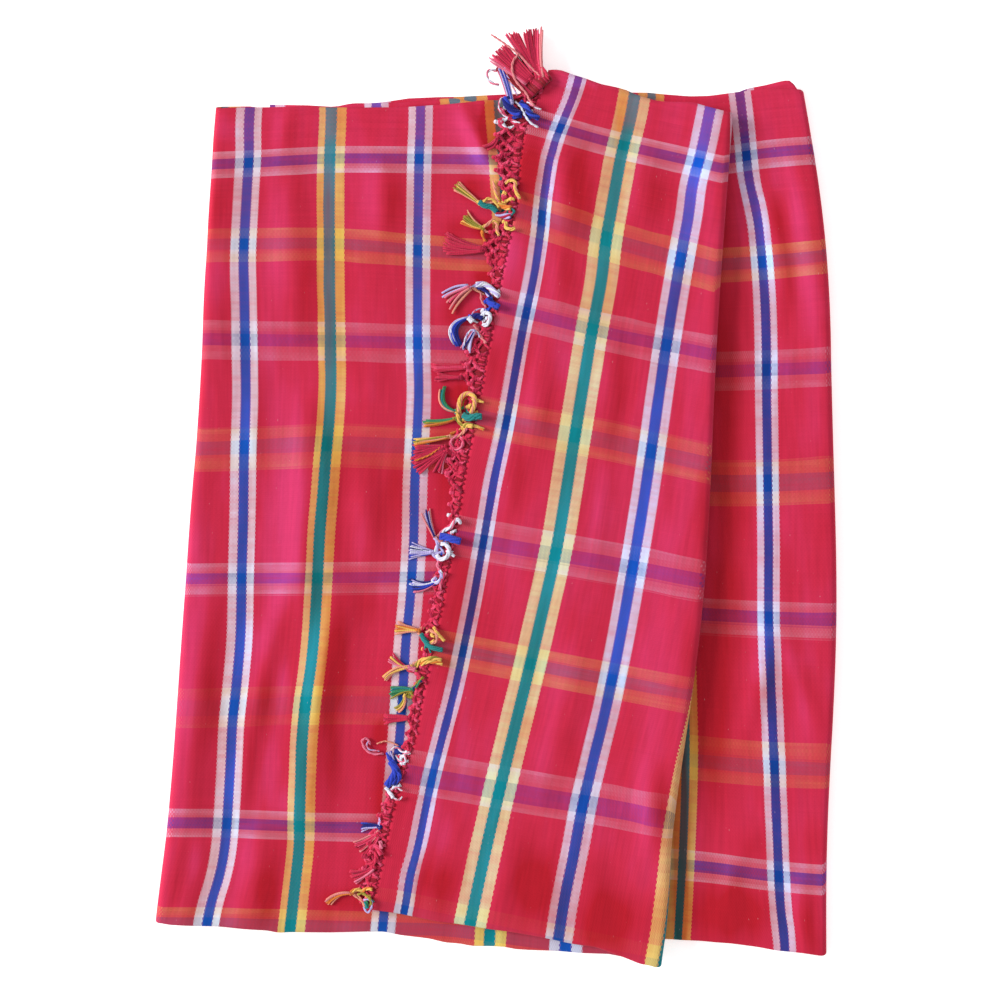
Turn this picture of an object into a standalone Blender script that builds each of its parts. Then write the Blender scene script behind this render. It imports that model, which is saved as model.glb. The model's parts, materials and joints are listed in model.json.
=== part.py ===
"""Plaid blanket, folded in half across the loom width and then back and forth in four layers.

It lies flat on a surface: +Z up, +Y towards the selvages, -X towards the side the knotted fringe points to.
The cloth is one sheet. Its cross section is a hairpin: an upper ply and a lower ply of the doubled strip,
joined by the lengthwise fold on the -Y side and open at the selvages on the +Y side. That doubled strip runs
along a zigzag of four layers: flap, left panel, right panel and the layer underneath.
"""
import math
from typing import NamedTuple

import bmesh
import bpy
import numpy as np

MM = 0.001

# Cloth, in mm
THICKNESS = 1.2
PLY_PITCH = 2.4  # between the mid surfaces of the two plies of the doubled strip
LAYER_PITCH = 5.0  # between the mid surfaces of two neighbouring layers
LOWEST_MID = PLY_PITCH / 2 + THICKNESS / 2  # the lowest ply lies on the surface

# Mesh density of the cloth: where the rows of each ply lie, from its selvage to the lengthwise fold
PLY_ROWS = (0.0, 0.022, 0.06, 0.13, 0.22, 0.32, 0.42, 0.52, 0.62, 0.72, 0.82, 0.92, 1.0)
HAIRPIN_SEGMENTS = 4
BEND_SEGMENTS = 6

FOLD_SWELL = 2.2  # how much further a fold's bend reaches where the layers above it swell
FOLD_EASE = 90.0  # how far from a fold the lines next to it are still moved in with it

# Fringe, in mm
BACKING_GAP = 0.4
BACKING_WIDTH = 1.8
BACKING_THICKNESS = 1.08
NET_PITCH = 8.2
NET_DEPTH = 7.5
NET_UNEVEN = 1.2  # how far the net's outer turns lie nearer or further than its depth
NET_WAVE = 2.3  # radians of that unevenness from one half pitch to the next
NET_LIFT = 0.15  # how far its outer turns lie above the inner ones
NET_TOP_MARGIN, NET_FOOT_MARGIN = 3.0, 4.0
NET_RADIUS = 0.8
LEG_RADIUS = 0.7
LEG_LIFT = 0.2
LEG_SPREAD = 5.0  # half the distance between the two roots of a lock of the lower ply
TURNS_PER_LOCK = 3  # turns of the net that a lock of the upper ply hangs from
STRAND_RADIUS = 0.6
STRAND_TAPER = (1.0, 1.0, 0.95, 0.8)
STRAND_STATIONS = (0.0, 0.3, 0.65, 1.0)
STRAND_LIFT = 0.25  # every second strand of a lock rises by this towards its tip
RAGGED = 0.06  # strands end short of the tip by up to three times this share
STRANDS = {"a": 5, "b": 4}  # in each lock of the upper and of the lower ply
KNOT_RADIUS = 1.25
KNOT_LENGTH = 4.2
KNOT_SIDES = 5
KNOT_FLATNESS = 0.85
KNOT_STATIONS = (-0.5, -0.3, 0.05, 0.5)
KNOT_RIDGE = (0.62, 1.0, 0.82, 0.6)  # radius at each station, as a share
KNOT_SINK = {"a": 0.6, "b": 0.5}  # how far a knot lies below the ply that it is tied to
KNOT_CLEARANCE = 0.25
SIDES = 3
TASSEL_CLEARANCE = 1.2  # between a tassel's middle line and the cloth below it
UPPER_TASSEL_RISE = 1.9  # further rise of a tassel of the upper ply, clear of the lower ply's
EDGE_ENDS = (0.004, 0.992)  # shares of the edge's length between which the fringe is tied


class Section(NamedTuple):
    """One line across the strip, from the selvages (top) to the lengthwise fold (foot), in mm.

    bow and sway bend the line sideways, as half a wave and as a whole wave. peek_a and peek_b are how far
    the strip's first and second ply stand out past the top point. steps is the number of columns from this
    line to the next one of the same layer.
    """

    layer: int
    name: str
    top_x: float
    top_y: float
    foot_x: float
    foot_y: float
    bow: float
    sway: float
    peek_a: float
    peek_b: float
    steps: int


# Layer 1 is the flap, 2 the left panel, 3 the right panel, 4 the layer underneath.
SECTIONS = (
    Section(1, "fringed_end", 38.1, 334.0, -97.7, -322.2, 3.9, -3.1, 0.0, -5.0, 2),
    Section(1, "stripe_1", 64.0, 328.5, -69.5, -326.2, -3.9, -3.1, 0.0, -4.0, 2),
    Section(1, "stripe_2", 100.9, 316.7, -16.9, -337.2, 7.9, 0.0, 0.0, -1.0, 2),
    Section(1, "stripe_3", 157.4, 306.5, 53.0, -348.1, 7.5, 1.2, 0.0, 2.5, 2),
    Section(1, "flap_fold", 181.7, 300.3, 129.1, -368.6, 7.9, -1.6, 0.0, 1.5, 0),
    Section(2, "flap_fold", 181.7, 300.3, 129.1, -368.6, 7.9, -1.6, 0.0, 1.5, 2),
    Section(2, "stripe_5", 66.3, 303.0, 53.8, -356.0, 7.9, 0.0, 2.0, 0.0, 2),
    Section(2, "stripe_6", -3.5, 307.0, -17.7, -352.1, 9.4, 0.0, 4.5, 0.0, 2),
    Section(2, "stripe_7", -61.6, 306.5, -89.1, -341.1, 9.4, 1.2, 2.0, 0.0, 2),
    Section(2, "stripe_8", -130.7, 305.8, -162.1, -341.1, 8.2, 3.9, 1.5, 0.0, 2),
    Section(2, "stripe_9", -199.0, 305.0, -227.3, -336.4, 11.8, -2.4, 2.5, 0.0, 1),
    Section(2, "left_fold", -219.4, 302.6, -268.1, -332.4, 3.9, -0.8, 3.5, 0.0, 0),
    Section(3, "left_fold", -219.4, 302.6, -268.1, -332.4, 3.9, -0.8, 3.5, 0.0, 2),
    Section(3, "stripe_10", -169.2, 306.5, -221.0, -334.0, 6.3, 0.0, 0.0, -2.0, 2),
    Section(3, "stripe_12", -31.0, 314.4, -75.8, -338.7, 6.3, 0.0, 0.0, -3.0, 3),
    Section(3, "stripe_14", 122.1, 315.5, 144.0, -348.9, 11.0, -1.6, 0.0, -2.0, 2),
    Section(3, "stripe_15", 191.1, 318.6, 224.9, -356.0, 3.9, 7.1, 0.0, 1.0, 2),
    Section(3, "right_fold", 245.3, 319.9, 261.8, -359.1, 12.6, 3.1, 0.0, 8.0, 0),
    Section(4, "right_fold", 245.3, 319.9, 261.8, -359.1, 12.6, 3.1, 0.0, 8.0, 3),
    Section(4, "middle", 49.8, 312.4, 49.8, -343.0, 6.3, 0.0, -2.0, 0.0, 3),
    Section(4, "hidden_end", -178.6, 310.5, -176.2, -342.7, 2.4, 0.0, 0.0, -2.0, 0),
)


class Swell(NamedTuple):
    """A soft long rise in the stack, in mm. lifts is the share of the height that each layer takes."""

    name: str
    x: float
    y: float
    reach_x: float
    reach_y: float
    height: float
    lifts: tuple[float, float, float, float]


SWELLS = (
    Swell("flap_fold_top", 178.0, 190.0, 26.0, 190.0, 2.2, (1.0, 0.0, 0.0, 0.0)),
    Swell("flap_fold_foot", 146.0, -230.0, 26.0, 230.0, 2.6, (1.0, 0.0, 0.0, 0.0)),
    Swell("left_fold_top", -222.0, 160.0, 30.0, 210.0, 2.4, (1.0, 1.0, 0.0, 0.0)),
    Swell("left_fold_foot", -254.0, -200.0, 30.0, 220.0, 2.8, (1.0, 1.0, 0.0, 0.0)),
    Swell("right_fold", 262.0, 20.0, 30.0, 330.0, 2.2, (1.0, 1.0, 1.0, 0.0)),
    Swell("left_panel_ridge", -150.0, -120.0, 22.0, 160.0, 1.4, (1.0, 1.0, 0.3, 0.0)),
    Swell("left_panel_crown", -95.0, 150.0, 34.0, 120.0, 1.2, (1.0, 1.0, 0.3, 0.0)),
    Swell("flap_crown", 52.0, -40.0, 40.0, 210.0, 1.3, (1.0, 0.5, 0.2, 0.0)),
    Swell("right_panel_crown", 215.0, -60.0, 26.0, 190.0, 1.1, (1.0, 1.0, 1.0, 0.0)),
)

# The flap's top corner stands out past the stack and droops from this line, in mm
DROOP_FROM_Y = 320.5
DROOP_SLOPE = 0.3


class Tassel(NamedTuple):
    """One tied lock of the fringe, in mm: where its knot and the middle of its tip lie, seen from above."""

    name: str
    ply: str  # a: end of the upper ply, b: end of the ply below it
    knot_x: float
    knot_y: float
    tip_x: float
    tip_y: float
    bend: float  # sideways bow of the lock
    spread: float  # width of its tip
    drop: float  # fall of its tip, where no cloth lies below


TASSELS = (
    Tassel("corner_1", "a", 24.5, 335.5, 9.0, 366.0, 3.0, 9.0, 7.0),
    Tassel("corner_2", "a", 31.0, 341.5, 25.5, 368.6, -1.5, 9.0, 6.0),
    Tassel("corner_3", "b", 36.0, 340.0, 36.5, 364.5, -2.0, 5.0, 5.0),
    Tassel("top_white_blue", "a", 11.0, 316.0, -2.7, 336.0, 2.0, 7.0, 3.0),
    Tassel("top_red_1", "a", 6.5, 291.0, -9.5, 300.0, 1.5, 8.0, 0.0),
    Tassel("top_red_2", "b", 1.0, 262.0, -11.5, 265.0, 1.0, 8.0, 0.0),
    Tassel("yellow_1", "a", -11.0, 231.0, -33.0, 243.5, -1.0, 7.0, 0.0),
    Tassel("yellow_2", "b", -11.4, 212.5, -28.5, 222.5, 1.0, 8.0, 0.0),
    Tassel("red_1", "a", -11.5, 194.3, -40.4, 199.8, 1.5, 11.0, 0.0),
    Tassel("pink_1", "a", -19.5, 164.0, -47.5, 157.0, -1.5, 12.0, 0.0),
    Tassel("blue_curl", "b", -20.8, 141.5, -31.0, 120.5, 7.0, 6.0, 0.0),
    Tassel("red_2", "a", -25.0, 102.5, -46.7, 98.5, -1.0, 10.0, 0.0),
    Tassel("green_curl", "b", -31.5, 74.5, -46.5, 85.5, -3.0, 5.0, 0.0),
    Tassel("yellow_3", "a", -33.6, 61.0, -61.0, 55.6, 1.0, 7.0, 0.0),
    Tassel("yellow_4", "b", -36.5, 46.0, -62.8, 42.2, -1.0, 6.0, 0.0),
    Tassel("red_3", "a", -38.5, 30.5, -63.0, 22.5, -1.5, 10.0, 0.0),
    Tassel("white_1", "b", -45.5, -22.0, -56.5, -6.5, 1.0, 6.0, 0.0),
    Tassel("white_2", "a", -49.5, -40.0, -70.0, -38.5, 1.5, 9.0, 0.0),
    Tassel("white_3", "b", -49.5, -61.5, -69.5, -69.5, 2.5, 7.0, 0.0),
    Tassel("yellow_5", "a", -61.5, -104.5, -80.0, -101.7, 0.5, 8.0, 0.0),
    Tassel("yellow_6", "b", -67.5, -133.0, -91.0, -142.0, -2.0, 6.0, 0.0),
    Tassel("green_2", "a", -68.0, -149.5, -84.5, -156.5, 2.0, 6.0, 0.0),
    Tassel("red_4", "b", -76.0, -172.5, -88.5, -176.5, 1.0, 7.0, 0.0),
    Tassel("pink_curl", "a", -83.5, -198.0, -104.0, -190.5, -4.0, 6.0, 0.0),
    Tassel("blue_1", "b", -84.5, -216.5, -92.0, -234.5, 3.0, 6.0, 0.0),
    Tassel("blue_2", "a", -92.0, -251.0, -107.5, -256.0, 1.5, 6.0, 0.0),
    Tassel("red_5", "b", -97.5, -268.0, -115.0, -276.0, 1.0, 10.0, 0.0),
    Tassel("yellow_7", "a", -108.0, -308.0, -131.5, -313.5, 1.0, 5.0, 0.0),
)


def smooth_path(values: np.ndarray, steps: np.ndarray) -> np.ndarray:
    """Catmull-Rom points through the rows of values, with steps[i] spans from row i to row i + 1."""
    before = np.vstack([2 * values[:1] - values[1:2], values, 2 * values[-1:] - values[-2:-1]])
    found = []
    for row, count in enumerate(steps):
        t = (np.arange(count) / count)[:, None]
        p0, p1, p2, p3 = before[row : row + 4]
        found.append(
            p1
            + 0.5 * t * (p2 - p0)
            + t**2 * (p0 - 2.5 * p1 + 2 * p2 - 0.5 * p3)
            + t**3 * (1.5 * (p1 - p2) + 0.5 * (p3 - p0))
        )
    found.append(values[-1:])
    return np.vstack(found)


def layer_height(layer: np.ndarray, x: np.ndarray, y: np.ndarray) -> np.ndarray:
    """Height of the middle of a layer's doubled strip: an even stack, plus its share of every swell."""
    layer = np.broadcast_to(np.asarray(layer), np.broadcast(x, y).shape)
    height = LOWEST_MID + LAYER_PITCH * (4 - layer).astype(float)
    for swell in SWELLS:
        share = np.asarray(swell.lifts)[layer - 1]
        away = ((x - swell.x) / swell.reach_x) ** 2 + ((y - swell.y) / swell.reach_y) ** 2
        height = height + share * swell.height * np.exp(-away)
    droop = DROOP_SLOPE * np.maximum(0.0, y - DROOP_FROM_Y)
    return height - np.where(layer == 1, droop, 0.0)


def outer_inset(layers_apart: float) -> float:
    """How far a layer's flat part stops short of the outline, so that its bend ends on the outline."""
    return layers_apart / 2 + PLY_PITCH / 2 + THICKNESS / 2


class Column(NamedTuple):
    """One column of the sheet's grid: its line across the strip, its layer and where it is in a bend."""

    line: np.ndarray
    layer: int
    angle: float | None  # radians from level, for a column in a bend
    side: int  # +1 for a fold on the right, -1 for one on the left


def columns() -> list[Column]:
    found = []
    for layer in (1, 2, 3, 4):
        rows = [s for s in SECTIONS if s.layer == layer]
        lines = smooth_path(
            np.array([s[2:10] for s in rows]), np.array([s.steps for s in rows[:-1]])
        )
        found += [Column(line, layer, None, 0) for line in lines]
        if layer < 4:
            side = -1 if layer == 2 else 1
            angles = np.linspace(math.pi / 2, -math.pi / 2, BEND_SEGMENTS + 1)
            found += [Column(lines[-1], layer, float(a), side) for a in angles[1:-1]]
    return found


def strip_point(column: Column, rows: np.ndarray, ply: str) -> tuple[np.ndarray, np.ndarray]:
    """Points on the middle of the doubled strip down one column, and the direction from there to ply a."""
    top_x, top_y, foot_x, foot_y, bow, sway, peek_a, peek_b = column.line
    start = -(peek_a if ply == "a" else peek_b) / (top_y - foot_y)
    v = start + (1 - start) * rows
    x = top_x + (foot_x - top_x) * v + 4 * bow * v * (1 - v) + sway * np.sin(2 * math.pi * v)
    y = top_y + (foot_y - top_y) * v
    if column.angle is None:
        z = layer_height(column.layer, x, y)
        towards_a = np.array([0.0, 0.0, 1.0 if column.layer in (1, 3) else -1.0])
        return np.stack([x, y, z], axis=1), towards_a
    above = layer_height(column.layer, x, y)
    below = layer_height(column.layer + 1, x, y)
    radius = (above - below) / 2
    x = x + column.side * radius * math.cos(column.angle)
    z = (above + below) / 2 + radius * math.sin(column.angle)
    outward = np.array([column.side * math.cos(column.angle), 0.0, math.sin(column.angle)])
    return np.stack([x, y, z], axis=1), outward * column.side


def inset_lines(found: list[Column]) -> list[Column]:
    """Moves the fold lines in from the outline by the size of their bends, easing out over the layer."""
    kept = []
    for column in found:
        line = column.line.copy()
        for fold, side in (("flap_fold", 1), ("left_fold", -1), ("right_fold", 1)):
            row = next(s for s in SECTIONS if s.name == fold)
            if column.layer not in [s.layer for s in SECTIONS if s.name == fold]:
                continue
            for at, edge in ((0, row.top_x), (2, row.foot_x)):
                share = max(0.0, 1 - abs(line[at] - edge) / FOLD_EASE)
                line[at] -= side * share * outer_inset(LAYER_PITCH + FOLD_SWELL)
        line[3] += PLY_PITCH / 2 + THICKNESS / 2
        kept.append(column._replace(line=line))
    return kept


def sheet_surface(found: list[Column]) -> tuple[np.ndarray, np.ndarray]:
    """The cloth's middle surface and its normals: ply a, round the lengthwise fold, then ply b."""
    rows = np.array(PLY_ROWS)
    turn = np.linspace(0.0, math.pi, HAIRPIN_SEGMENTS + 1)[1:-1]
    down = np.array([0.0, -1.0, 0.0])
    points, normals = [], []
    for column in found:
        middle_a, to_a = strip_point(column, rows, "a")
        middle_b, _ = strip_point(column, rows[::-1], "b")
        middle = np.vstack([middle_a, np.repeat(middle_a[-1:], len(turn), axis=0), middle_b])
        angle = np.concatenate([0 * rows, turn, 0 * rows + math.pi])
        normal = np.cos(angle)[:, None] * to_a + np.sin(angle)[:, None] * down
        points.append(middle + PLY_PITCH / 2 * normal)
        normals.append(normal)
    return np.array(points), np.array(normals)


def thick_sheet(points: np.ndarray, normals: np.ndarray, thickness: float) -> tuple[np.ndarray, list]:
    """A closed mesh from a grid of points: one face of the sheet, the other, and the four rims."""
    across, along = points.shape[:2]
    vertices = np.concatenate([
        (points + thickness / 2 * normals).reshape(-1, 3),
        (points - thickness / 2 * normals).reshape(-1, 3),
    ])
    under = across * along
    i, j = np.meshgrid(np.arange(across - 1), np.arange(along - 1), indexing="ij")
    a = (i * along + j).ravel()
    quads = np.stack([a, a + 1, a + along + 1, a + along], axis=1)
    faces = [quads, quads[:, ::-1] + under]
    rim = np.concatenate([
        np.arange(along),
        np.arange(1, across) * along + along - 1,
        (across - 1) * along + np.arange(along - 2, -1, -1),
        np.arange(across - 2, 0, -1) * along,
    ])
    following = np.roll(rim, -1)
    faces.append(np.stack([following, rim, rim + under, following + under], axis=1))
    return vertices, np.concatenate(faces).tolist()


def tube(points: np.ndarray, radius: np.ndarray, sides: int, squash: float = 1.0) -> tuple[np.ndarray, list]:
    """A closed tube of few sides along a path. squash is its height as a share of its width."""
    radius = np.broadcast_to(radius, len(points))
    tangent = np.gradient(points, axis=0)
    tangent /= np.linalg.norm(tangent, axis=1)[:, None]
    side = np.cross(tangent, [0.0, 0.0, 1.0])
    side /= np.linalg.norm(side, axis=1)[:, None]
    up = np.cross(side, tangent)
    angle = np.arange(sides) * 2 * math.pi / sides + math.pi / 2
    ring = (
        np.cos(angle)[None, :, None] * side[:, None, :]
        + squash * np.sin(angle)[None, :, None] * up[:, None, :]
    )
    vertices = (points[:, None, :] + radius[:, None, None] * ring).reshape(-1, 3)
    count = len(points)
    i, k = np.meshgrid(np.arange(count - 1), np.arange(sides), indexing="ij")
    a, b = (i * sides + k).ravel(), (i * sides + (k + 1) % sides).ravel()
    faces = np.stack([a, b, b + sides, a + sides], axis=1).tolist()
    faces.append(list(range(sides))[::-1])
    faces.append([(count - 1) * sides + k for k in range(sides)])
    return vertices, faces


class Edge:
    """The fringed end of the cloth, as a line down each ply."""

    def __init__(self, end: Column) -> None:
        self.end = end
        along = np.array([end.line[2] - end.line[0], end.line[3] - end.line[1]])
        along /= np.linalg.norm(along)
        self.out = np.array([along[1], -along[0], 0.0])

    def at_height(self, y: float, ply: str) -> np.ndarray:
        """The middle of one ply's edge where it crosses y, or at its nearer end."""
        share = (self.end.line[1] - y) / (self.end.line[1] - self.end.line[3])
        point, to_a = strip_point(self.end, np.clip([share], *EDGE_ENDS), ply)
        return point[0] + (1 if ply == "a" else -1) * PLY_PITCH / 2 * to_a


def backing(end: Column, edge: Edge) -> tuple[np.ndarray, list]:
    """A narrow strip along the cloth's fringed edge, down ply a, round the lengthwise fold and up ply b."""
    points, normals = sheet_surface([end])
    reach = np.array([BACKING_GAP + BACKING_WIDTH, BACKING_GAP])
    grid = points[0][None] + reach[:, None, None] * edge.out
    return thick_sheet(grid, np.repeat(normals, 2, axis=0), BACKING_THICKNESS)


def top_of_left_panel(x: float, y: float) -> float:
    """Height of the left panel's upper face."""
    return float(layer_height(2, np.array(x), np.array(y))) + PLY_PITCH / 2 + THICKNESS / 2


def net(edge: Edge) -> tuple[list, np.ndarray]:
    """The zigzag of tied warp ends beside the upper ply's edge, and the points it turns at."""
    length = edge.end.line[1] - edge.end.line[3]
    count = int(length / NET_PITCH)
    top, foot = edge.end.line[1] - NET_TOP_MARGIN, edge.end.line[3] + NET_FOOT_MARGIN
    ys = np.linspace(top, foot, 2 * count + 1)
    path = []
    for n, y in enumerate(ys):
        base = edge.at_height(y, "a")
        inner = BACKING_GAP + BACKING_WIDTH / 2
        reach = NET_DEPTH + NET_UNEVEN * math.sin(NET_WAVE * n) if n % 2 else inner
        path.append(base + reach * edge.out + np.array([0.0, 0.0, NET_LIFT * (n % 2)]))
    path = np.array(path)
    return [tube(path, NET_RADIUS, SIDES)], path[1::2]


def lock(edge: Edge, tassel: Tassel, turns: np.ndarray) -> list:
    """The solids of one tied lock: its legs from the edge, a ridged knot and the strands past it."""
    solids = []
    upper = tassel.ply == "a"
    root = edge.at_height(tassel.knot_y, tassel.ply)
    knot = np.array([tassel.knot_x, tassel.knot_y, 0.0])
    tip = np.array([tassel.tip_x, tassel.tip_y, 0.0])
    floor_z = top_of_left_panel(tassel.knot_x, tassel.knot_y)
    knot[2] = root[2] - KNOT_SINK[tassel.ply]
    if not upper:
        knot[2] = max(knot[2], floor_z + KNOT_RADIUS + KNOT_CLEARANCE)
    over_cloth = tassel.drop == 0.0
    rest = top_of_left_panel(tassel.tip_x, tassel.tip_y) + TASSEL_CLEARANCE + UPPER_TASSEL_RISE * upper
    tip[2] = rest if over_cloth else knot[2] - tassel.drop
    heading = (tip - knot) / np.linalg.norm(tip - knot)
    if upper:
        nearest = np.argsort(np.linalg.norm(turns - knot, axis=1))[:TURNS_PER_LOCK]
        roots = turns[np.sort(nearest)]
    else:
        inner = (BACKING_GAP + BACKING_WIDTH / 2) * edge.out
        shifts = (LEG_SPREAD, -LEG_SPREAD)
        roots = np.array([edge.at_height(tassel.knot_y + shift, "b") + inner for shift in shifts])
    for start in roots:
        middle = (start + knot) / 2 + np.array([0.0, 0.0, LEG_LIFT])
        solids.append(tube(np.array([start, middle, knot]), LEG_RADIUS, SIDES))
    stations = KNOT_LENGTH * np.array(KNOT_STATIONS)[:, None] * heading
    ridge = KNOT_RADIUS * np.array(KNOT_RIDGE)
    solids.append(tube(knot + stations, ridge, KNOT_SIDES, KNOT_FLATNESS))
    across = np.cross(heading, [0.0, 0.0, 1.0])
    across /= np.linalg.norm(across)
    t = np.array(STRAND_STATIONS)[:, None]
    count = STRANDS[tassel.ply]
    for n in range(count):
        place = 2 * n / (count - 1) - 1
        ragged = 1 - RAGGED * ((3 * n) % 4)
        fan = place * tassel.spread / 2 * t**0.8
        path = knot + (tip - knot) * t * ragged + across * (fan + 2 * tassel.bend * t * (1 - t))
        path[:, 2] += STRAND_LIFT * (n % 2) * t[:, 0]
        solids.append(tube(path, STRAND_RADIUS * np.array(STRAND_TAPER), SIDES))
    return solids


def new_object(name: str, vertices: np.ndarray, faces: list) -> bpy.types.Object:
    mesh = bpy.data.meshes.new(name)
    mesh.from_pydata((np.asarray(vertices) * MM).tolist(), [], faces)
    working = bmesh.new()
    working.from_mesh(mesh)
    bmesh.ops.recalc_face_normals(working, faces=working.faces)
    working.to_mesh(mesh)
    working.free()
    mesh.update()
    return bpy.data.objects.new(name, mesh)


def paint(obj: bpy.types.Object, colour: tuple[float, float, float], roughness: float) -> None:
    material = bpy.data.materials.new(obj.name)
    material.use_nodes = True
    shader = material.node_tree.nodes["Principled BSDF"]
    shader.inputs["Base Color"].default_value = (*colour, 1.0)
    shader.inputs["Roughness"].default_value = roughness
    shader.inputs["Metallic"].default_value = 0.0
    obj.data.materials.append(material)


def fringe_solids(end: Column) -> list:
    """The backing first, then the net, the locks and their knots, each a closed mesh."""
    edge = Edge(end)
    zigzag, turns = net(edge)
    solids = [backing(end, edge), *zigzag]
    for tassel in TASSELS:
        solids += lock(edge, tassel, turns)
    return solids


def middle_of(solids: list) -> np.ndarray:
    """The middle of the footprint of all solids, at their base."""
    points = np.concatenate([vertices for vertices, _ in solids])
    low, high = points.min(axis=0), points.max(axis=0)
    return np.array([(low[0] + high[0]) / 2, (low[1] + high[1]) / 2, low[2]])


def build_cloth(solid: tuple, origin: np.ndarray) -> None:
    vertices, faces = solid
    cloth = new_object("cloth", vertices - origin, faces)
    bpy.context.scene.collection.objects.link(cloth)
    paint(cloth, (0.62, 0.03, 0.07), 0.85)


def outer_body(mesh: bpy.types.Mesh) -> None:
    """Drops the small hollows that crossing strands close in, which are shells of their own."""
    working = bmesh.new()
    working.from_mesh(mesh)
    waiting, shells = set(working.verts), []
    while waiting:
        shell, edge_of = set(), [waiting.pop()]
        while edge_of:
            vertex = edge_of.pop()
            shell.add(vertex)
            near = {e.other_vert(vertex) for e in vertex.link_edges} & waiting
            waiting -= near
            edge_of += near
        shells.append(shell)
    shells.sort(key=len)
    for shell in shells[:-1]:
        bmesh.ops.delete(working, geom=list(shell), context="VERTS")
    working.to_mesh(mesh)
    working.free()


def build_fringe(solids: list, origin: np.ndarray) -> None:
    """Joins the backing, the net, the locks and the knots into one body."""
    joined = bpy.data.collections.new("fringe_strands")
    bpy.context.scene.collection.children.link(joined)
    joined.hide_render = True
    for number, (vertices, faces) in enumerate(solids[1:]):
        joined.objects.link(new_object(f"strand_{number:03d}", vertices - origin, faces))
    fringe = new_object("fringe", solids[0][0] - origin, solids[0][1])
    bpy.context.scene.collection.objects.link(fringe)
    union = fringe.modifiers.new("union", "BOOLEAN")
    union.operation = "UNION"
    union.operand_type = "COLLECTION"
    union.collection = joined
    union.solver = "MANIFOLD"
    graph = bpy.context.evaluated_depsgraph_get()
    whole = bpy.data.meshes.new_from_object(fringe.evaluated_get(graph))
    outer_body(whole)
    fringe.modifiers.clear()
    fringe.data = whole
    for strand in list(joined.objects):
        bpy.data.objects.remove(strand, do_unlink=True)
    bpy.data.collections.remove(joined)
    paint(fringe, (0.55, 0.04, 0.07), 0.9)


def main() -> None:
    for obj in list(bpy.data.objects):
        bpy.data.objects.remove(obj, do_unlink=True)
    found = inset_lines(columns())
    sheet = thick_sheet(*sheet_surface(found), THICKNESS)
    solids = fringe_solids(found[0])
    origin = middle_of([sheet, *solids])
    build_cloth(sheet, origin)
    build_fringe(solids, origin)


main()
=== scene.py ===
"""Looks of a folded plaid blanket: the woven cloth in its folds and the knotted fringe across its top.

The tables are in millimetres, as the blanket lies seen from above: x to the right, y up the picture, z up
from the surface. TABLE_ZERO is where their zero lies in the object's own frame, which is in metres. Some
tables are in the photograph's pixels, across and down, and say so.
"""

import json
import logging
import math
from dataclasses import dataclass, field
from enum import Enum

import bpy
import numpy as np
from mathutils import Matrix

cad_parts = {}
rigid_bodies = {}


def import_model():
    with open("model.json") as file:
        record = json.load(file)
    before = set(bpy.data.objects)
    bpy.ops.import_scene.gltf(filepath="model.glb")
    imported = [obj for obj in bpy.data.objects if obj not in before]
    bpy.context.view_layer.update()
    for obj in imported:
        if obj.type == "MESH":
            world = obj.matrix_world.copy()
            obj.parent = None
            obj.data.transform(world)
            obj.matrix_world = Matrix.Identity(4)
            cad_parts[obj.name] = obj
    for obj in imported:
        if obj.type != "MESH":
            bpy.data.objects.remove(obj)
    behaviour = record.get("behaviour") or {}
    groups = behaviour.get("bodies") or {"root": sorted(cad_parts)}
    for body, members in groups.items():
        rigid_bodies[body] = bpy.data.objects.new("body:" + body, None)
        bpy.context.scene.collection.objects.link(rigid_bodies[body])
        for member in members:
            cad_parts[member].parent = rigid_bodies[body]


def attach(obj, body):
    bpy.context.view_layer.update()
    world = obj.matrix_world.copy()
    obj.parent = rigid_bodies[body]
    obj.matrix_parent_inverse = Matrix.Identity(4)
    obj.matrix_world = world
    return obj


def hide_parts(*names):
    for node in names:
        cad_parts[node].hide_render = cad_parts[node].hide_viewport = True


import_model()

Array = np.ndarray
Pair = tuple[float, float]
Widths = tuple[float, float, float]
Colour = tuple[float, float, float]
Piece = bpy.types.Object
Node = bpy.types.Node
Socket = bpy.types.NodeSocket

MM = 0.001
TABLE_ZERO = np.array([0.920, -0.497, 0.0])
PICTURE_SCALE = 0.785
PICTURE_MIDDLE = (496.5, 497.5)
# How far the corners of a table's line are rounded, in picture pixels
DRIFT_SOFTNESS = 12.0
BAND_SOFTNESS = 18.0

# Make of the cloth
THICKNESS = 1.0
PLY_PITCH = 2.4
LAYER_PITCH = 5.0
LOWEST_MID = 1.8
WEFT_PITCH = 69.0
WARP_PITCH = 80.0
LOOM_TURN = 1280.0
THREAD_STRETCH = 1.1
THREAD_DRIFT = 18.3
# Share of the weft's other dyes by weft place: navy and pale yellow above zero, bright white and faded green
# below zero
SECOND_DYE_AT = (
    (48, 0.8), (190, 0.8), (200, 0.25), (220, 0.2), (258, 0.2), (262, 0.15), (268, 0.15), (273, 0),
    (475, 0), (483, -0.3), (491, -0.8), (500, 0), (542, 0), (560, 0.2), (590, 0), (608, -0.8),
    (616, -0.8), (621, -0.2), (625, -0.4), (633, -0.4), (640, 0), (1020, 0), (1024, 0.9), (1060, 0.9),
)


class Ply(Enum):
    """The doubled strip's two plies: the half of the loom width with the first selvage, and the other."""

    A = 0
    B = 1


class Side(Enum):
    """The side that a fold lies on, as the sign of x."""

    LEFT = -1
    RIGHT = 1


def picture(points: list[Pair]) -> Array:
    """Turns places in the picture, in its pixels, into millimetres of the table.

    Args:
        points: places as (across, down).

    Returns:
        One row of x and y for each place.
    """
    found = np.array(points, dtype=float)
    return (found - PICTURE_MIDDLE) * np.array([PICTURE_SCALE, -PICTURE_SCALE])


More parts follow.
